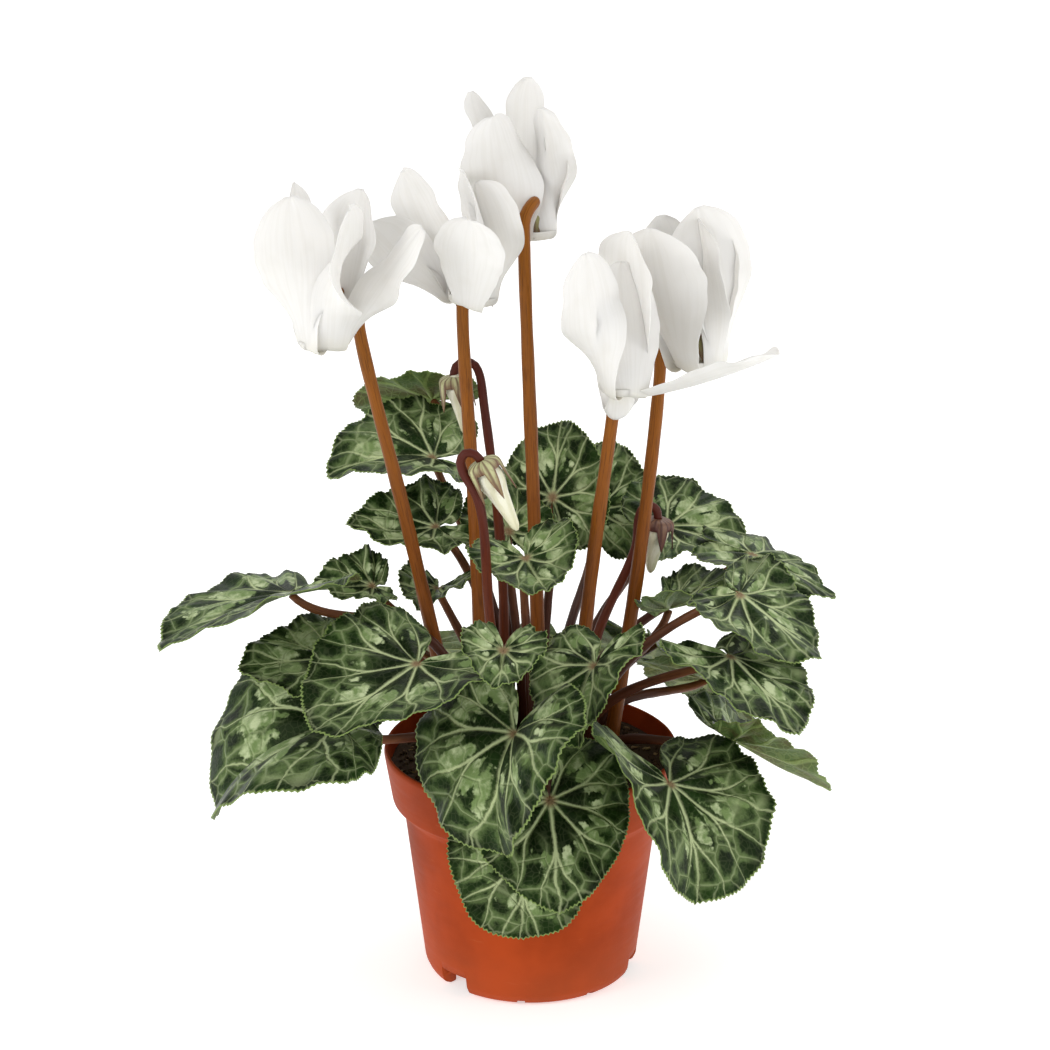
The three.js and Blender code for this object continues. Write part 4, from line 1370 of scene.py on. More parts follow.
@dataclass(frozen=True)
class RibbedFinish:
    """A small ribbed surface, of buds and calyces.

    place is [cosine, sine round it, tenths along it]; lay is [ribs, share along, seed],
    where ribs counts the ribs round the surface.
    """

    name: str
    base: str
    rib: str
    tip: str
    amount: float = 0.5
    speck_scale: float = 7.0
    relief: float = 0.2

    def build(self) -> bpy.types.Material:
        """Makes the material.

        Returns:
            The finished material.
        """
        s = Shader(self.name)
        place, lay = s.add(Kind.PLACE), s.add(Kind.LAY)
        ribs, share, _ = s.add(Kind.SPLIT, lay)
        wander = s.add(Kind.MULTIPLY_ADD, s.add(Kind.CLOUD, place, 2.2, 2), 0.5, ribs)
        line = s.add(Kind.ABSOLUTE, s.add(Kind.SUBTRACT, s.add(Kind.FRACT, wander), 0.5))
        line = s.fall(line, 0.06, 0.3)
        speck = s.add(Kind.CLOUD, place, self.speck_scale, 3, 0.6)
        tipped = s.add(Kind.RISE, share, 0.45, 1.0)
        colour = s.add(Kind.MIX, tipped, srgb(self.base), srgb(self.tip))
        colour = s.tint(colour, self.rib, line, self.amount)
        colour = s.tint(colour, self.rib, s.add(Kind.RISE, speck, 0.52, 0.7), 0.3)
        return s.surface(
            Base_Color=colour, Roughness=0.5,
            Normal=s.add(Kind.BUMP, line, self.relief * MM, 0.5), Subsurface_Weight=0.1,
            Subsurface_Radius=(1.0, 0.9, 0.6), Subsurface_Scale=2 * MM,
        )


@dataclass(frozen=True)
class PlasticFinish:
    """Matt moulded plastic with faint mottling, flow lines and dusty scuffs.

    Scales are in waves a millimetre; scuffs run round the pot.
    """

    name: str = "terracotta_plastic"
    base: str = "#b0451d"
    deep: str = "#963917"
    dust: str = "#bd6c49"
    sheen: str = "#e0a070"
    patch_scale: float = 0.024
    grain_scale: float = 0.9
    scuff_scale: tuple[float, float, float] = (0.06, 0.06, 0.42)
    dusty_foot: float = 30.0
    relief: float = 0.06

    def build(self) -> bpy.types.Material:
        """Makes the material.

        Returns:
            The finished material.
        """
        s = Shader(self.name)
        spot = s.add(Kind.SPOT)
        patch = s.add(Kind.CLOUD, spot, self.patch_scale / MM, 4, 0.6)
        grain = s.add(Kind.CLOUD, spot, self.grain_scale / MM, 3, 0.6)
        axes = s.add(Kind.SPLIT, spot)
        drawn = [
            s.add(Kind.MULTIPLY, axis, scale / MM)
            for axis, scale in zip(axes, self.scuff_scale)
        ]
        scuff = s.add(Kind.CLOUD, s.add(Kind.JOIN, *drawn), 1, 5, 0.7)
        mottling = s.add(Kind.RISE, patch, 0.35, 0.7)
        colour = s.add(Kind.MIX, mottling, srgb(self.base), srgb(self.deep))
        colour = s.tint(colour, self.dust, s.add(Kind.RISE, scuff, 0.6, 0.78), 0.35)
        low = s.fall(axes[2], 0.0, self.dusty_foot * MM)
        colour = s.tint(colour, self.dust, low, s.add(Kind.MULTIPLY, patch, 0.3))
        rough = s.add(Kind.MULTIPLY_ADD, scuff, 0.3, 0.4)
        height = s.add(Kind.MULTIPLY_ADD, scuff, 0.6, grain)
        return s.surface(
            Base_Color=colour, Roughness=rough,
            Normal=s.add(Kind.BUMP, height, self.relief * MM, 0.6),
            Specular_IOR_Level=0.12, Specular_Tint=srgb(self.sheen),
        )


@dataclass(frozen=True)
class EarthFinish:
    """Loose earthy matter, dull and rough; scale is in waves a millimetre.

    lay is [own shade from 0 to 1, share of tan, 0].
    """

    name: str
    dark: str
    light: str
    tan: str
    scale: float = 0.9
    relief: float = 0.5

    def build(self) -> bpy.types.Material:
        """Makes the material.

        Returns:
            The finished material.
        """
        s = Shader(self.name)
        spot = s.add(Kind.SPOT)
        shade, chip, _ = s.add(Kind.SPLIT, s.add(Kind.LAY))
        grain = s.add(Kind.CLOUD, spot, self.scale / MM, 4, 0.7)
        clump = s.add(Kind.CLOUD, spot, self.scale / MM / 5, 3, 0.6)
        lit = s.add(Kind.MULTIPLY_ADD, grain, 0.9, s.add(Kind.MULTIPLY, shade, 0.5))
        colour = s.add(Kind.MIX, lit, srgb(self.dark), srgb(self.light))
        colour = s.tint(colour, self.dark, s.add(Kind.RISE, clump, 0.55, 0.7), 0.5)
        colour = s.add(Kind.MIX, chip, colour, srgb(self.tan))
        height = s.add(Kind.MULTIPLY_ADD, clump, 2.0, grain)
        relief = s.add(Kind.BUMP, height, self.relief * MM, 1.0)
        return s.surface(Base_Color=colour, Roughness=0.92, Normal=relief)


@dataclass(frozen=True)
class FloorFinish:
    """The plain pale floor, with a glow of its own that keeps it white."""

    name: str = "studio_paper"
    base: str = "#f6f6f5"
    fibre: str = "#e9e9e7"
    fibre_scale: float = 0.3
    glow: float = 0.5

    def build(self) -> bpy.types.Material:
        """Makes the material.

        Returns:
            The finished material.
        """
        s = Shader(self.name)
        fibre = s.add(Kind.CLOUD, s.add(Kind.SPOT), self.fibre_scale / MM, 3, 0.6)
        colour = s.tint(srgb(self.base), self.fibre, fibre, 0.04)
        return s.surface(
            Base_Color=colour, Roughness=0.8, Specular_IOR_Level=0.2,
            Emission_Color=srgb("#ffffff"), Emission_Strength=self.glow,
        )


SOIL_FINISH = EarthFinish("potting_soil", dark="#2a1c12", light="#60472f", tan="#b3976c")
CORM_FINISH = EarthFinish(
    "corky_skin", dark="#33231a", light="#7a5a43", tan="#8d6f55", scale=0.52
)
PETIOLE_FINISH = StalkFinish(
    "petiole", foot="#4c2615", top="#7d4d2e", streak="#371b11", turn_at=(0.45, 0.98)
)
PEDUNCLE_FINISH = StalkFinish("peduncle", foot="#7f450f", top="#935713", streak="#4a2406")
BUD_STALK_FINISH = StalkFinish("bud_peduncle", foot="#6a3016", top="#521f14", streak="#3c1710")
CALYX_FINISH = RibbedFinish("calyx", base="#8d8a55", rib="#5a3a2a", tip="#6d5236", amount=0.6)
BUD_CALYX_FINISH = RibbedFinish(
    "bud_calyx", base="#bdbd8c", rib="#5d3428", tip="#7d6244", amount=0.75
)
# The calyx of bud_right is a darker, redder copy of the bud calyx. It is partly that calyx's own
# dark purple-brown and partly painted shade, as that bud sits in shade.
DARK_SHADED_CALYX_FINISH = RibbedFinish(
    "dark_shaded_calyx", base="#7c5a44", rib="#44201c", tip="#5c3029", amount=0.7
)
BUD_FINISH = RibbedFinish("bud", base="#efedd9", rib="#cfcba4", tip="#e3e0bf", amount=0.55)


# ------------------------------------------------------------------ pot, soil and corm
def turned(
    builder: MeshBuilder, profile: np.ndarray, sides: int, middle: Sequence[float] = (0.0, 0.0)
) -> None:
    """Adds a solid turned about a vertical axis.

    Args:
        builder: what it is added to.
        profile: [radius, height] points from the axis and back to it.
        sides: points round the axis.
        middle: where the axis is.
    """
    radius = np.maximum(profile[:, 0], POLE_RADIUS)[:, None]
    height = np.broadcast_to(profile[:, 1:2], (len(profile), sides))
    points = rings(radius, ring_angles(sides), height) + [*middle, 0]
    builder.add(points.reshape(-1, 3), tube_faces(len(profile), sides))


@dataclass
class Pot:
    """The moulded nursery pot with its rim band, foot ring and drain notches."""

    size: PotSize = POT
    sides: int = 144
    fillet: float = 0.7
    cut_reach: float = 7.0

    def profile(self) -> list[tuple[float, float]]:
        """The pot's section: under the floor, up the outside, down the inside.

        Returns:
            Its [radius, height] points.
        """
        p = self.size
        foot_inner = p.foot_radius - p.foot_width
        floor = p.recess + p.floor
        return [
            (0, 0), (p.pad_radius, 0), (p.pad_radius, p.recess), (foot_inner, p.recess),
            (foot_inner, 0), (p.foot_radius, 0), (p.foot_radius + 2.6, p.corner * 0.35),
            (p.wall_foot_radius - 0.2, p.corner), (p.shoulder_radius, p.height - p.band_height - 4),
            (p.shoulder_radius + 1.2, p.height - p.band_height - 1.6),
            (p.band_radius, p.height - p.band_height), (p.rim_radius, p.height - 1.4),
            (p.rim_radius - 0.5, p.height), (p.rim_radius - p.wall, p.height),
            (p.band_radius - p.wall, p.height - p.band_height + 1),
            (p.shoulder_radius - p.wall, p.height - p.band_height - 3),
            (p.wall_foot_radius - p.wall, floor + 3.5), (p.foot_radius - 1.5, floor), (0, floor),
        ]

    def cutters(self) -> bpy.types.Object:
        """The blocks that cut the drain notches, with two nicks after each.

        Returns:
            One object with all the blocks.
        """
        p = self.size
        builder = MeshBuilder()
        faces = [
            [0, 1, 3, 2], [4, 6, 7, 5], [0, 4, 5, 1], [2, 3, 7, 6], [0, 2, 6, 4], [1, 5, 7, 3],
        ]
        cuts = p.drains * 3
        for k in range(cuts):
            is_drain = k % 3 == 0
            width = p.drain_width if is_drain else p.nick_width
            top = p.drain_height if is_drain else p.nick_height
            x = p.foot_radius - self.cut_reach, p.foot_radius + self.cut_reach
            corners = [[a, b, c] for a in x for b in (-width / 2, width / 2) for c in (-1.0, top)]
            turn = turn_z(p.drain_angle + 360 * k / cuts)
            builder.add(np.array(corners) @ turn.T, faces)
        return builder.make("drain_cutters", [])

    def build(self) -> bpy.types.Object:
        """Makes the pot and dresses it.

        Returns:
            The pot.
        """
        builder = MeshBuilder()
        turned(builder, rounded(self.profile(), self.fillet), self.sides)
        pot = builder.make("nursery_pot", [PlasticFinish().build()])
        cutters = self.cutters()
        bpy.ops.object.select_all(action="DESELECT")
        pot.select_set(True)
        bpy.context.view_layer.objects.active = pot
        cut = pot.modifiers.new("drains", "BOOLEAN")
        cut.operation, cut.solver, cut.object = "DIFFERENCE", "EXACT", cutters
        bpy.ops.object.modifier_apply(modifier=cut.name)
        bpy.data.objects.remove(cutters)
        return settle(pot, "pot", "pot")


# Lumps of the soil's top: waves a millimetre, layer of the noise, and share of the height.
SOIL_LUMPS = ((0.11, 3.1, 1.0), (0.42, 7.7, 0.6), (1.1, 1.3, 0.45))


@dataclass
class Soil:
    """Potting soil with a lumpy top, crumbs, and chips of bark lying on it.

    Its lower corner, out of sight, is cut back, so that the ground shows through the
    drain notches.
    """

    level: float = SOIL_LEVEL
    sides: int = 150
    rings: int = 34
    seed: int = 11
    crumbs: int = 1100
    chips: float = 0.18
    crumb_size: tuple[float, float] = (0.35, 1.15)
    crumb_lump: float = 0.28
    crumb_tilt: float = 25.0
    crumb_form: tuple[float, float, float] = (1.1, 1.0, 0.75)
    chip_form: tuple[float, float, float] = (1.7, 0.9, 0.4)
    margin: float = 2.8
    clear: float = 2.2
    lump: float = 1.3
    crown: float = 0.9
    corner_in: float = 10.0
    corner_up: float = 7.0

    def top_radius(self) -> float:
        """Radius of the soil's top, just inside the pot's wall."""
        slope = (POT.rim_radius - POT.band_radius) / POT.band_height
        return POT.rim_radius - POT.wall - slope * (POT.height - self.level) - GAP

    def height(self, x: float, y: float) -> float:
        """Height of the lumpy top.

        Args:
            x: where, to the east.
            y: where, to the north.

        Returns:
            The height above the ground.
        """
        lumps = sum(
            share * noise.noise(Vector((x * scale, y * scale, layer)))
            for scale, layer, share in SOIL_LUMPS
        )
        inward = 1 - math.hypot(x, y) / self.top_radius()
        return self.level + self.crown * inward + self.lump * lumps

    def build(self) -> bpy.types.Object:
        """Makes the soil and dresses it.

        Returns:
            The soil with its crumbs.
        """
        builder = MeshBuilder()
        floor = POT.recess + POT.floor + GAP
        hole = CORM.radius + 2 * GAP
        outer = [
            (0, floor), (POT.foot_radius - self.corner_in, floor),
            (POT.wall_foot_radius - POT.wall - GAP, floor + self.corner_up),
            (POT.shoulder_radius - POT.wall - GAP, POT.height - POT.band_height - 3),
            (POT.band_radius - POT.wall - GAP, POT.height - POT.band_height + 1),
        ]
        bed = CORM.top(CORM.radius) - CORM.depth - GAP
        turn = ring_angles(self.sides)
        rows = [(max(r, POLE_RADIUS), z, 0.0, False) for r, z in outer]
        for share in np.linspace(0, 1, self.rings):
            radius = self.top_radius() + (hole - self.top_radius()) * share
            rows.append((radius, self.level, CORM.x * share, True))
        rows += [(hole, bed, CORM.x, False), (POLE_RADIUS, bed, CORM.x, False)]
        grid = np.empty((len(rows), self.sides, 3))
        for r, (radius, z, shift, lumpy) in enumerate(rows):
            grid[r, :, 0] = shift + radius * np.cos(turn)
            grid[r, :, 1] = radius * np.sin(turn)
            grid[r, :, 2] = [self.height(x, y) for x, y in grid[r, :, :2]] if lumpy else z
        builder.add(grid.reshape(-1, 3), tube_faces(len(rows), self.sides))
        self.scatter(builder)
        return settle(builder.make("soil_bed", [SOIL_FINISH.build()]), "soil", "soil")

    def scatter(self, builder: MeshBuilder) -> None:
        """Adds the loose crumbs and chips on the top.

        Args:
            builder: what they are added to.
        """
        rng = np.random.default_rng(self.seed)
        stamp = bmesh.new()
        bmesh.ops.create_icosphere(stamp, subdivisions=1, radius=1.0)
        ball = np.array([v.co[:] for v in stamp.verts])
        faces = [[v.index for v in face.verts] for face in stamp.faces]
        stamp.free()
        spread = self.top_radius() - self.margin
        for _ in range(self.crumbs):
            far = spread * math.sqrt(rng.uniform(0.3, 1.0))
            angle = rng.uniform(0, 2 * math.pi)
            x, y = far * math.cos(angle), far * math.sin(angle)
            if math.hypot(x - CORM.x, y - CORM.y) < CORM.radius + self.clear:
                continue
            chip = rng.random() < self.chips
            size = rng.uniform(*self.crumb_size)
            shape = ball * (1 + rng.uniform(-self.crumb_lump, self.crumb_lump, (len(ball), 1)))
            shape = shape * (size * np.array(self.chip_form if chip else self.crumb_form))
            tilt = self.crumb_tilt
            shape = shape @ (turn_z(rng.uniform(0, 360)) @ turn_x(rng.uniform(-tilt, tilt))).T
            shape = shape + [x, y, self.height(x, y) + 0.25 * size]
            lay = [rng.random(), rng.uniform(0.3, 0.8) if chip else 0.0, 0.0]
            builder.add(shape, faces, 0, lay=np.tile(lay, (len(ball), 1)))


@dataclass
class Corm:
    """The corm: a flattened brown dome with a cracked, corky skin."""

    size: CormSize = CORM
    sides: int = 96
    lump: float = 0.35
    crack: float = 0.25

    def build(self) -> bpy.types.Object:
        """Makes the corm and dresses it.

        Returns:
            The corm.
        """
        c = self.size
        rim = c.top(c.radius)
        foot = rim - c.depth
        profile = [
            (0, foot), (c.radius * 0.6, foot + 1.5), (c.radius * 0.92, foot + 8),
            (c.radius, rim - 5), (c.radius - 0.6, rim),
            *((c.radius * share, c.top(c.radius * share)) for share in np.linspace(0.94, 0, 22)),
        ]
        builder = MeshBuilder()
        turned(builder, rounded(profile, 1.6), self.sides, middle=(c.x, c.y))
        points = builder.points[0]
        for k, (x, y, z) in enumerate(points):
            spot = Vector((x, y, z))
            cracks = abs(noise.noise(spot * 0.9))
            points[k, 2] += self.lump * noise.noise(spot * 0.3) - self.crack * cracks
        return settle(builder.make("corm_skin", [CORM_FINISH.build()]), "corm", "corm")


# ------------------------------------------------------------------ leaves
def bent_reach(
    distance: np.ndarray, start: float, rate: np.ndarray | float
) -> tuple[np.ndarray, np.ndarray]:
    """Where a sheet leads that slopes from start, and more by rate.

    Args:
        distance: how far along the sheet.
        start: its slope at the start, in radians.
        rate: how much the slope grows in a millimetre.

    Returns:
        How far it goes out and down.
    """
    rate = np.where(np.abs(rate) < 1e-7, 1e-7, rate)
    end = start + rate * distance
    return (np.sin(end) - np.sin(start)) / rate, (np.cos(start) - np.cos(end)) / rate


# Waves of a blade's margin: how many there are in a whole turn, and share of the height.
BLADE_WAVES = ((7, 0.6), (13, 0.4), (23, 0.25))
CRIMP_WAVES = 41


class LeafSlot(Enum):
    """The finishes of a leaf, in the order of its slots."""

    UPPER = 0
    UNDER = 1
    PETIOLE = 2


@dataclass
class Leaf:
    """One leaf: a bent, toothed blade and the petiole that carries it."""

    shape: LeafShape
    seed: int
    materials: Sequence[bpy.types.Material]
    tooth: float = 0.75
    teeth_per_mm: float = 3.2
    tooth_range: tuple[float, float] = (0.6, 1.2)
    ripple: float = 1.7
    crimp: float = 0.12
    quilt: float = 1.5
    thickness: float = 0.55
    half_width: float = 0.75

    def matrix(self) -> np.ndarray:
        """The turn from the blade's own axes: x to the tip, z out of its face."""
        return turn_z(self.shape.heading) @ turn_y(self.shape.dip) @ turn_x(self.shape.roll)

    def bend(self, x: np.ndarray, y: np.ndarray, lift: np.ndarray | float = 0.0) -> np.ndarray:
        """Points of the bent blade.

        Args:
            x: flat distance from the joint towards the tip.
            y: flat distance to the left of the midrib.
            lift: height over the bent blade.

        Returns:
            The points, before the blade is turned.
        """
        leaf = self.shape
        bend = np.radians(np.where(x >= 0, leaf.droop, leaf.lobes)) / leaf.length
        out, down = bent_reach(x, 0.0, bend)
        fold, curl = math.radians(leaf.fold), math.radians(leaf.curl)
        side, fall = bent_reach(np.abs(y), fold, curl / (self.half_width * leaf.length))
        lift = lift - fall
        slope = bend * x
        height = np.cos(slope) * lift - down
        return np.stack([out + np.sin(slope) * lift, np.sign(y) * side, height], -1)

    def outline(self, off: np.ndarray) -> np.ndarray:
        """Distance from the joint to the margin.

        Args:
            off: angles off the midrib, in degrees.

        Returns:
            The distances in millimetres.
        """
        shoulders = np.exp(-(((off - 34) / 17) ** 2)) - 0.55 * np.exp(-((off / 11) ** 2))
        leaf = self.shape
        return leaf.length * along_curve(LEAF_OUTLINE, off) * (1 + leaf.blunt * shoulders)

    def blade(self, builder: MeshBuilder) -> None:
        """Adds the blade.

        Args:
            builder: what it is added to.
        """
        leaf = self.shape
        fine = np.linspace(-SINUS, SINUS, 1200)
        far = self.outline(np.abs(fine))
        fx, fy = far * np.cos(np.radians(fine)), far * np.sin(np.radians(fine)) * leaf.wide
        run = np.concatenate([[0], np.cumsum(np.hypot(np.diff(fx), np.diff(fy)))])
        teeth = round(self.teeth_per_mm * leaf.length)
        angle = np.interp(np.linspace(0, run[-1], 2 * teeth + 1), run, fine)
        turn, part = np.meshgrid(np.radians(angle), BLADE_RINGS)
        reach = self.outline(np.abs(np.degrees(turn)))
        rng = np.random.default_rng(self.seed)
        in_and_out = np.arange(len(angle)) % 2 * 2 - 1
        depth = self.tooth * rng.uniform(*self.tooth_range, len(angle)) * in_and_out / 2
        notch = -depth[None, :] * smoothstep(part, 0.9, 1.0) ** 2

        def flat(radius: np.ndarray) -> tuple[np.ndarray, np.ndarray]:
            """Flat distances along and across, at a distance from the joint."""
            x = radius * np.cos(turn)
            return x * np.where(x < 0, leaf.back, 1.0), radius * np.sin(turn) * leaf.wide

        x, y = flat(part * reach)
        vein = np.degrees(turn) / VEIN_STEP
        off = np.abs(vein - np.round(vein))
        swell = np.sin(np.pi * np.clip(part * 1.05, 0, 1))
        puff = self.quilt * (smoothstep(off, 0.0, 0.5) - 0.5) * swell
        starts = rng.uniform(0, 6.28, 4)
        edge = smoothstep(part, 0.45, 1.0)
        waves = [
            share * np.sin(turn * count + start)
            for (count, share), start in zip(BLADE_WAVES, starts)
        ]
        puff = puff + self.crimp * edge * np.sin(turn * CRIMP_WAVES + starts[3])
        lift = puff + self.ripple * edge * sum(waves)
        at = self.bend(x, y, lift)
        normal = surface_normals(at)
        tx, ty = flat(part * reach + notch)
        at = self.bend(tx, ty, lift)
        turned_at = at @ self.matrix().T + np.array(leaf.joint)
        thickness = self.thickness * (1 - 0.45 * smoothstep(part, 0.8, 1.0))
        seed = np.full(x.shape, self.seed * BLADE_SEED)
        place = np.stack([x, y, seed], -1)
        lay = np.stack([vein, part, part * reach], -1)
        slots = (LeafSlot.UPPER.value, LeafSlot.UNDER.value)
        normal = normal @ self.matrix().T
        builder.sheet(turned_at, normal, thickness, slots, place, lay, capped=True)

    def course(self) -> Course:
        """The line of the petiole.

        Returns:
            The line from the corm to just under the blade.
        """
        leaf = self.shape
        joint = np.array(leaf.joint, float)
        root = root_point(leaf.root, PETIOLE.root_radius)
        arriving = unit(self.matrix() @ np.array([0.6, 0.0, 0.8]))
        span = float(np.linalg.norm(root - joint))
        end = joint - 0.6 * arriving
        if leaf.via:
            stops = [root, root + [0, 0, 3], *(np.array(stop, float) for stop in leaf.via), end]
            return Course.through(stops)
        rising = root + np.array([0, 0, span * leaf.rise])
        return Course.bezier(root, rising, end - arriving * span * leaf.neck, end)

    def build(self) -> bpy.types.Object:
        """Makes the leaf and dresses it.

        Returns:
            The leaf.
        """
        builder = MeshBuilder()
        self.blade(builder)
        builder.stalk(self.course(), PETIOLE, LeafSlot.PETIOLE.value, self.seed * PETIOLE_SEED)
        piece = builder.make(self.shape.name.replace("leaf", "blade", 1), self.materials)
        return settle(piece, "leaf", self.shape.name)


def root_point(root: tuple[float, float], stalk_radius: float) -> np.ndarray:
    """Where a stalk stands on the corm.

    Args:
        root: [distance from the corm's middle, heading].
        stalk_radius: radius of the stalk's foot.

    Returns:
        The middle of the stalk's foot.
    """
    radius, heading = root
    angle = math.radians(heading)
    return np.array([
        CORM.x + radius * math.cos(angle), CORM.y + radius * math.sin(angle),
        CORM.top(radius - stalk_radius) + GAP,
    ])


# ------------------------------------------------------------------ flowers and buds
class BloomSlot(Enum):
    """The finishes of a stalk with its calyx, in the order of its slots."""

    STALK = 0
    CALYX = 1


def bloom_turn(bloom: BloomShape) -> np.ndarray:
    """The turn of a flower or bud: z up its tube, x kept to the east."""
    return turn_z(bloom.towards) @ turn_y(bloom.lean) @ turn_z(-bloom.towards)


def hooked_course(bloom: BloomShape, top: float) -> Course:
    """The line of a stalk: up from the corm, over in a hook, and down on its calyx.

    Args:
        bloom: the flower or bud that it carries.
        top: height of the calyx over the mouth.

    Returns:
        The line.
    """
    turn, mouth = bloom_turn(bloom), np.array(bloom.mouth, float)

    def place(out: float, up: float, swing: float) -> np.ndarray:
        """A point beside the bloom, on the stalk's side of it."""
        side = math.radians(bloom.side + bloom.swing * swing)
        return turn @ np.array([out * math.cos(side), out * math.sin(side), up]) + mouth

    shoulder = place(bloom.reach, top, 1)
    root = root_point(bloom.root, PEDUNCLE.root_radius)
    middle = (root + shoulder) / 2
    bow = np.array([shoulder[1] - root[1], root[0] - shoulder[0], 0.0])
    middle = middle + unit(bow) * bloom.bow
    hook = [
        place(bloom.reach * out, top + bloom.crest * up, swing) for out, up, swing in HOOK_OUTLINE
    ]
    leg = place(bloom.reach, top - HOOK_LEG, 1)
    return Course.through([root, middle, leg, shoulder, *hook])


@dataclass
class Calyx:
    """A cap with five pointed lobes that lie along a tube or a bud."""

    radius: float
    top: float
    length: float
    width: float
    seed: float
    columns: int = 90
    rows: int = 16
    keel: float = 0.25
    flick: float = 0.5

    def add_to(self, builder: MeshBuilder) -> None:
        """Adds the calyx, upright at the origin.

        Args:
            builder: what it is added to.
        """
        columns, rows = self.columns, self.rows
        turn = ring_angles(columns)
        lobe = (turn * CALYX.lobes / (2 * np.pi) + 0.5) % 1.0 - 0.5
        inner = self.radius + GAP + CALYX.thickness / 2
        half = self.width / (2 * inner) * CALYX.lobes / (2 * np.pi)
        reach = np.clip(1 - np.abs(lobe) / half, 0, 1) ** 0.8
        depth = CALYX.cup + (self.length - CALYX.cup) * reach
        shoulder, cap = self.top + GAP, CALYX.cap * 1.2
        crown = [(0.3, cap), (inner * 0.55, cap), (inner * 0.9, cap * 0.62)]
        profile = rounded([*crown, (inner, 0.1), (inner, -1.0)], 1.2)
        run = run_along(profile)
        over = run[-1] - 1.0
        at = np.empty((rows, columns, 3))
        share = np.linspace(0, 1, rows)
        for c in range(columns):
            s = share * (over + depth[c])
            radius = np.where(s < run[-1], np.interp(s, run, profile[:, 0]), inner)
            height = np.where(s < run[-1], np.interp(s, run, profile[:, 1]), -1.0 - (s - run[-1]))
            keel = np.cos(np.pi * min(abs(lobe[c]) / 0.5, 1))
            ridge = self.keel * keel * smoothstep(s, over * 0.6, over + 2)
            flick = self.flick * reach[c] * smoothstep(share, 0.75, 1.0)
            at[:, c] = rings(radius + ridge + flick, turn[c], shoulder + height)
        around = np.concatenate([at[:, -1:], at, at[:, :1]], 1)
        normal = surface_normals(around)[:, 1:-1]
        ribs = np.broadcast_to(lobe * 3 + 0.5, (rows, columns))
        along = np.broadcast_to(share[:, None], (rows, columns))
        place = rings(np.ones(along.shape), turn, at[..., 2] / 10 + self.seed)
        lay = np.stack([ribs, along, np.full(along.shape, self.seed)], -1)
        thickness = CALYX.thickness * (0.8 - 0.4 * along)
        slot = BloomSlot.CALYX.value
        builder.sheet(at, normal, thickness, (slot, slot), place, lay, wrap=True, capped=True)


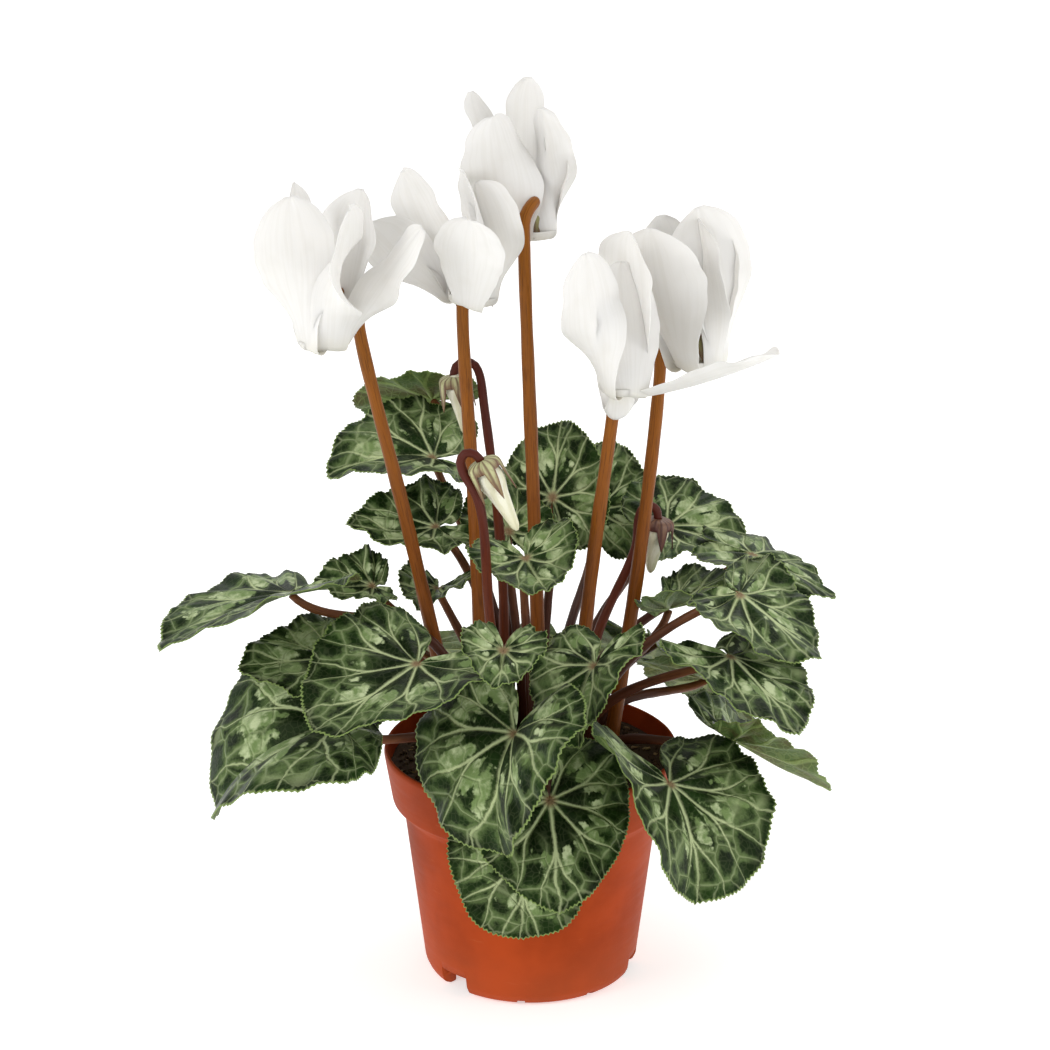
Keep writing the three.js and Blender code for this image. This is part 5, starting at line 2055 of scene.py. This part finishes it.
@dataclass
class Flower:
    """An open flower: a short tube with five petals bent back, on a hooked stalk."""

    shape: FlowerShape
    seed: int
    petal_finish: bpy.types.Material
    stalk_finishes: Sequence[bpy.types.Material]
    steps: int = 60
    columns: int = 25
    base_radius: float = 4.5
    start_angle: float = 20.0
    turn_length: float = 5.0
    collar_angle: float = 156.0
    collar_length: float = 6.5
    basin: float = 5.0
    basin_width: float = 7.0
    skew: float = 16.0
    sepal_length: float = 7.5
    sepal_width: float = 4.6
    thickness: float = 0.55
    ruffle: float = 1.0

    def petal(self, builder: MeshBuilder, petal: PetalShape, seed: int) -> None:
        """Adds one petal, upright at the origin.

        Args:
            builder: what it is added to.
            petal: the petal.
            seed: sets its ripples.
        """
        steps, columns = self.steps, self.columns
        along = np.arange(steps + 1) / steps
        run = along * petal.length
        turned_at = petal.drop + self.turn_length

        def course_at(distance: np.ndarray) -> np.ndarray:
            """Which way the petal heads.

            Args:
                distance: how far along the petal.

            Returns:
                The angles from straight down, in radians.
            """
            first = np.clip((distance - petal.drop) / self.turn_length, 0, 1)
            later = np.maximum((distance - turned_at) / (petal.length - turned_at), 0)
            back = 180 - self.start_angle - petal.spread
            return np.radians(self.start_angle + back * first - petal.flare * later)

        middle = course_at(run[:-1] + petal.length / steps / 2)
        step = petal.length / steps
        out = self.base_radius + np.concatenate([[0], np.cumsum(np.sin(middle) * step)])
        up = np.concatenate([[0], -np.cumsum(np.cos(middle) * step)])
        course = course_at(run)[:, None]
        across = np.sin(np.linspace(-1, 1, columns) * np.pi / 2)[None, :]
        rng = np.random.default_rng(seed)
        wave = rng.uniform(0, 6.28, 4)
        edge = np.ones(steps + 1)
        for (count, share), start in zip(PETAL_EDGE_WAVES, wave):
            edge = edge + share * np.sin(along * count + start)
        half = (petal.width / 2 * along_curve(PETAL_OUTLINE, along) * edge)[:, None]
        turn = np.radians(self.skew + petal.twist * smoothstep(along, 0.16, 0.7))[:, None]
        bulge = -petal.cup * half * across**2
        grow = smoothstep(along, 0.25, 0.8)[:, None]
        side = np.abs(across) ** 2.2
        slant = along[:, None] * 11 + wave[2] + across * 0.9
        bulge = bulge + self.ruffle * grow * side * np.sin(slant)
        bulge = bulge + 0.45 * self.ruffle * grow * side * np.sin(along[:, None] * 27 + wave[3])
        bulge = bulge - 0.35 * grow * np.exp(-((across / 0.12) ** 2))
        lateral = half * across * np.cos(turn) - bulge * np.sin(turn)
        raised = half * across * np.sin(turn) + bulge * np.cos(turn)
        height = up[:, None] - raised * np.sin(course)
        if petal.drop:
            fold = run - turned_at + self.turn_length / 2
            near = np.exp(-((fold / self.basin_width) ** 2))
            height = height + self.basin * np.abs(across) ** 2.5 * near[:, None]
        at = np.stack([out[:, None] - raised * np.cos(course), lateral, height], -1)
        at = at @ turn_z(petal.heading).T
        grid = np.ones((steps + 1, columns))
        place = np.stack([across * grid, along[:, None] * grid, seed * PETAL_SEED * grid], -1)
        lay = np.stack([half * across, run[:, None] * grid, place[..., 2]], -1)
        thin = self.thickness * (1 - 0.5 * np.abs(across) ** 3) * (1 - 0.35 * along[:, None])
        builder.sheet(at, surface_normals(at), thin, (0, 0), place, lay)

    def throat(self, builder: MeshBuilder) -> None:
        """Adds the tube with its style, upright at the origin.

        Args:
            builder: what they are added to.
        """
        inner = TUBE.radius - TUBE.wall
        section = rounded([
            (0, TUBE.length - TUBE.wall), (inner - 1, TUBE.length - TUBE.wall), (inner, 6),
            (inner - 0.6, 2.5), (inner - 0.2, -1.2), (TUBE.radius - 0.2, -1.2),
            (TUBE.radius - 0.5, 2), (TUBE.radius, 6), (TUBE.radius - 1, TUBE.length),
            (0, TUBE.length),
        ], 0.8)
        start = len(builder.points)
        turned(builder, section, 48)
        style = rounded([
            (0, -2.6), (0.55, -2.4), (0.62, -1.8), (0.45, -1.2), (0.5, 8.4), (0, 8.5),
        ], 0.2)
        turned(builder, style, 16)
        for batch in range(start, len(builder.points)):
            # the tube and style count as the petal's foot, so they take the throat colour, which is
            # partly painted shade
            builder.place[batch][:, 1] = 0.05
            builder.place[batch][:, 2] = self.seed * PETAL_SEED
        self.collar(builder)

    def collar(self, builder: MeshBuilder) -> None:
        """Adds the ring where the petals turn back, upright at the origin.

        Args:
            builder: what it is added to.
        """
        steps, columns = 14, 72
        run = np.linspace(0, self.collar_length, steps + 1)
        turned_back = self.collar_angle * np.clip(run / self.turn_length, 0, 1)
        course = np.radians(self.start_angle + turned_back)
        step = run[1] - run[0]
        out = self.base_radius - 0.3 + np.concatenate([[0], np.cumsum(np.sin(course[:-1]) * step)])
        up = 0.3 - np.concatenate([[0], np.cumsum(np.cos(course[:-1]) * step)])
        turn = ring_angles(columns)[None, :]
        wave = 1 + 0.03 * np.sin(turn * 5 + self.seed)
        radius = out[:, None] * wave
        grid = np.ones(radius.shape)
        at = rings(radius, turn, up[:, None] * grid)
        normal = rings(np.cos(course)[:, None], turn, np.sin(course)[:, None] * grid)
        along = run[:, None] / 55 * grid
        place = np.stack([np.sin(turn * 5) * grid, along, self.seed * PETAL_SEED * grid], -1)
        builder.sheet(at, normal, 0.5, (0, 0), place, place, wrap=True)

    def build(self) -> tuple[bpy.types.Object, bpy.types.Object]:
        """Makes the flower and dresses it.

        Returns:
            The corolla, and the stalk with its calyx.
        """
        flower = self.shape
        turn = bloom_turn(flower)
        corolla = MeshBuilder()
        for k, petal in enumerate(flower.petals):
            self.petal(corolla, petal, self.seed * 10 + k)
        self.throat(corolla)
        corolla.transform(turn, flower.mouth)
        stem = MeshBuilder()
        sepals = self.sepal_length, self.sepal_width
        Calyx(TUBE.radius, TUBE.length, *sepals, self.seed).add_to(stem)
        stem.transform(turn, flower.mouth)
        course = hooked_course(flower, TUBE.length + GAP + CALYX.cap)
        stem.stalk(course, PEDUNCLE, BloomSlot.STALK.value, self.seed * STALK_SEED)
        name = flower.name.replace("flower", "bloom", 1)
        petals = corolla.make(f"{name}_corolla", [self.petal_finish])
        stalk = stem.make(f"{name}_peduncle", self.stalk_finishes)
        return (
            settle(petals, "petal", f"{flower.name}_petals"),
            settle(stalk, "flower_stalk", f"{flower.name}_stalk"),
        )


@dataclass
class Bud:
    """A nodding bud, its petals wound round each other, on a hooked stalk.

    Its sepals are as long and wide as a share of its length and of its radius.
    """

    shape: BudShape
    seed: int
    bud_finish: bpy.types.Material
    stalk_finishes: Sequence[bpy.types.Material]
    wind: float = 150.0
    sepal_length: float = 0.45
    sepal_width: float = 0.8

    def body(self, builder: MeshBuilder) -> None:
        """Adds the wound bud, upright at the origin with its base on top.

        Args:
            builder: what it is added to.
        """
        bud = self.shape
        rows, columns = 56, 80
        share = np.linspace(0, 1, rows)
        turn = ring_angles(columns)
        radius = np.maximum(along_curve(BUD_OUTLINE, share), 0.06)[:, None] * bud.radius
        winding = 5 * turn[None, :] + math.radians(self.wind * 5 / 3) * share[:, None] ** 1.2
        lap = (winding / (2 * np.pi)) % 1.0
        radius = radius * (0.955 + 0.075 * lap - 0.06 * smoothstep(lap, 0.88, 1.0))
        grid = np.ones(radius.shape)
        height = -share[:, None] * bud.length * grid
        at = rings(radius, turn, height)
        place = rings(grid, turn, height / 10 + self.seed)
        lay = np.stack([winding / (2 * np.pi) + 0.5, share[:, None] * grid, self.seed * grid], -1)
        readings = place.reshape(-1, 3), lay.reshape(-1, 3)
        builder.add(at.reshape(-1, 3), tube_faces(rows, columns), 0, *readings)

    def build(self) -> tuple[bpy.types.Object, bpy.types.Object]:
        """Makes the bud and dresses it.

        Returns:
            The bud, and the stalk with its calyx.
        """
        bud = self.shape
        turn = bloom_turn(bud)
        wound = MeshBuilder()
        self.body(wound)
        wound.transform(turn, bud.mouth)
        stem = MeshBuilder()
        sepals = bud.length * self.sepal_length, bud.radius * self.sepal_width
        Calyx(bud.radius, 0, *sepals, self.seed).add_to(stem)
        stem.transform(turn, bud.mouth)
        course = hooked_course(bud, GAP + CALYX.cap)
        stem.stalk(course, BUD_STALK, BloomSlot.STALK.value, self.seed * STALK_SEED)
        body = wound.make(f"{bud.name}_wound", [self.bud_finish])
        stalk = stem.make(f"{bud.name}_peduncle", self.stalk_finishes)
        return settle(body, "bud", bud.name), settle(stalk, "bud_stalk", f"{bud.name}_stalk")


# ------------------------------------------------------------------ studio
@dataclass(frozen=True)
class Lamp:
    """A soft area light that looks at a point of the plant."""

    name: str
    spot: tuple[float, float, float]
    size: float
    power: float
    aim: tuple[float, float, float] = (0.0, 0.0, 0.15)

    def build(self) -> None:
        """Makes the light."""
        data = bpy.data.lights.new(self.name, "AREA")
        data.shape, data.size, data.energy = "DISK", self.size, self.power
        lamp = bpy.data.objects.new(self.name, data)
        lamp.location = self.spot
        sight = Vector(self.aim) - Vector(self.spot)
        lamp.rotation_euler = sight.to_track_quat("-Z", "Y").to_euler()
        bpy.context.scene.collection.objects.link(lamp)


@dataclass
class Studio:
    """The camera, the lights, the white surround and the pale floor."""

    eye: tuple[float, float, float] = (-0.00207, -0.886, 0.463)
    pitch: float = 71.55
    lens: float = 92.02
    surround: float = 0.68
    lamps: tuple[Lamp, ...] = (
        Lamp("key", (-1.0, -0.85, 0.9), 0.6, 6.6),
        Lamp("fill", (1.2, -0.5, 0.7), 0.7, 4.5),
        Lamp("rim", (0.3, 1.0, 1.1), 0.8, 3.0),
    )

    def build(self) -> None:
        """Makes the whole studio."""
        data = bpy.data.cameras.new("camera")
        data.lens, data.sensor_width = self.lens, 36.0
        camera = bpy.data.objects.new("camera", data)
        camera.location = self.eye
        camera.rotation_euler = (math.radians(self.pitch), 0.0, 0.0)
        bpy.context.scene.collection.objects.link(camera)
        bpy.context.scene.camera = camera
        for lamp in self.lamps:
            lamp.build()
        self.surroundings()
        bpy.context.scene.view_settings.view_transform = "Standard"
        bpy.ops.mesh.primitive_circle_add(vertices=96, radius=6.0, fill_type="NGON")
        floor = bpy.context.object
        floor.name = "floor"
        floor.data.materials.append(FloorFinish().build())

    def surroundings(self) -> None:
        """Makes the surround: a soft light all round, and plain white to look at."""
        world = bpy.data.worlds.new("surround")
        world.use_nodes = True
        tree = world.node_tree
        background = tree.nodes["Background"]
        path = tree.nodes.new("ShaderNodeLightPath")
        level = tree.nodes.new("ShaderNodeMapRange")
        level.inputs["To Min"].default_value = self.surround
        level.inputs["To Max"].default_value = 1.0
        tree.links.new(path.outputs["Is Camera Ray"], level.inputs["Value"])
        tree.links.new(level.outputs[0], background.inputs["Strength"])
        background.inputs["Color"].default_value = (1, 1, 1, 1)
        bpy.context.scene.world = world


# ------------------------------------------------------------------ the whole plant
FIRST_BUD_SEED = 11


def write_sizes() -> None:
    """Brings the view layer up to date."""
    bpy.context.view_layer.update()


def main() -> None:
    """Makes every piece in order."""
    logging.basicConfig(level=logging.INFO, format="%(name)s %(message)s")
    Studio().build()
    Pot().build()
    Soil().build()
    Corm().build()
    leaf_finishes = [LeafFinish().build(), UndersideFinish().build(), PETIOLE_FINISH.build()]
    for k, leaf in enumerate(LEAVES, 1):
        Leaf(leaf, k, leaf_finishes).build()
    flower_finishes = [PEDUNCLE_FINISH.build(), CALYX_FINISH.build()]
    petal_finish = PetalFinish().build()
    for k, flower in enumerate(FLOWERS, 1):
        Flower(flower, k, petal_finish, flower_finishes).build()
    bud_finish, bud_stalk = BUD_FINISH.build(), BUD_STALK_FINISH.build()
    # painted shade in part: bud_right, which sits in shade, gets the darker calyx
    calyces = {"bud_right": DARK_SHADED_CALYX_FINISH.build()}
    ripe = BUD_CALYX_FINISH.build()
    for k, bud in enumerate(BUDS, FIRST_BUD_SEED):
        Bud(bud, k, bud_finish, [bud_stalk, calyces.get(bud.name, ripe)]).build()
    write_sizes()


if __name__ == "__main__":
    main()
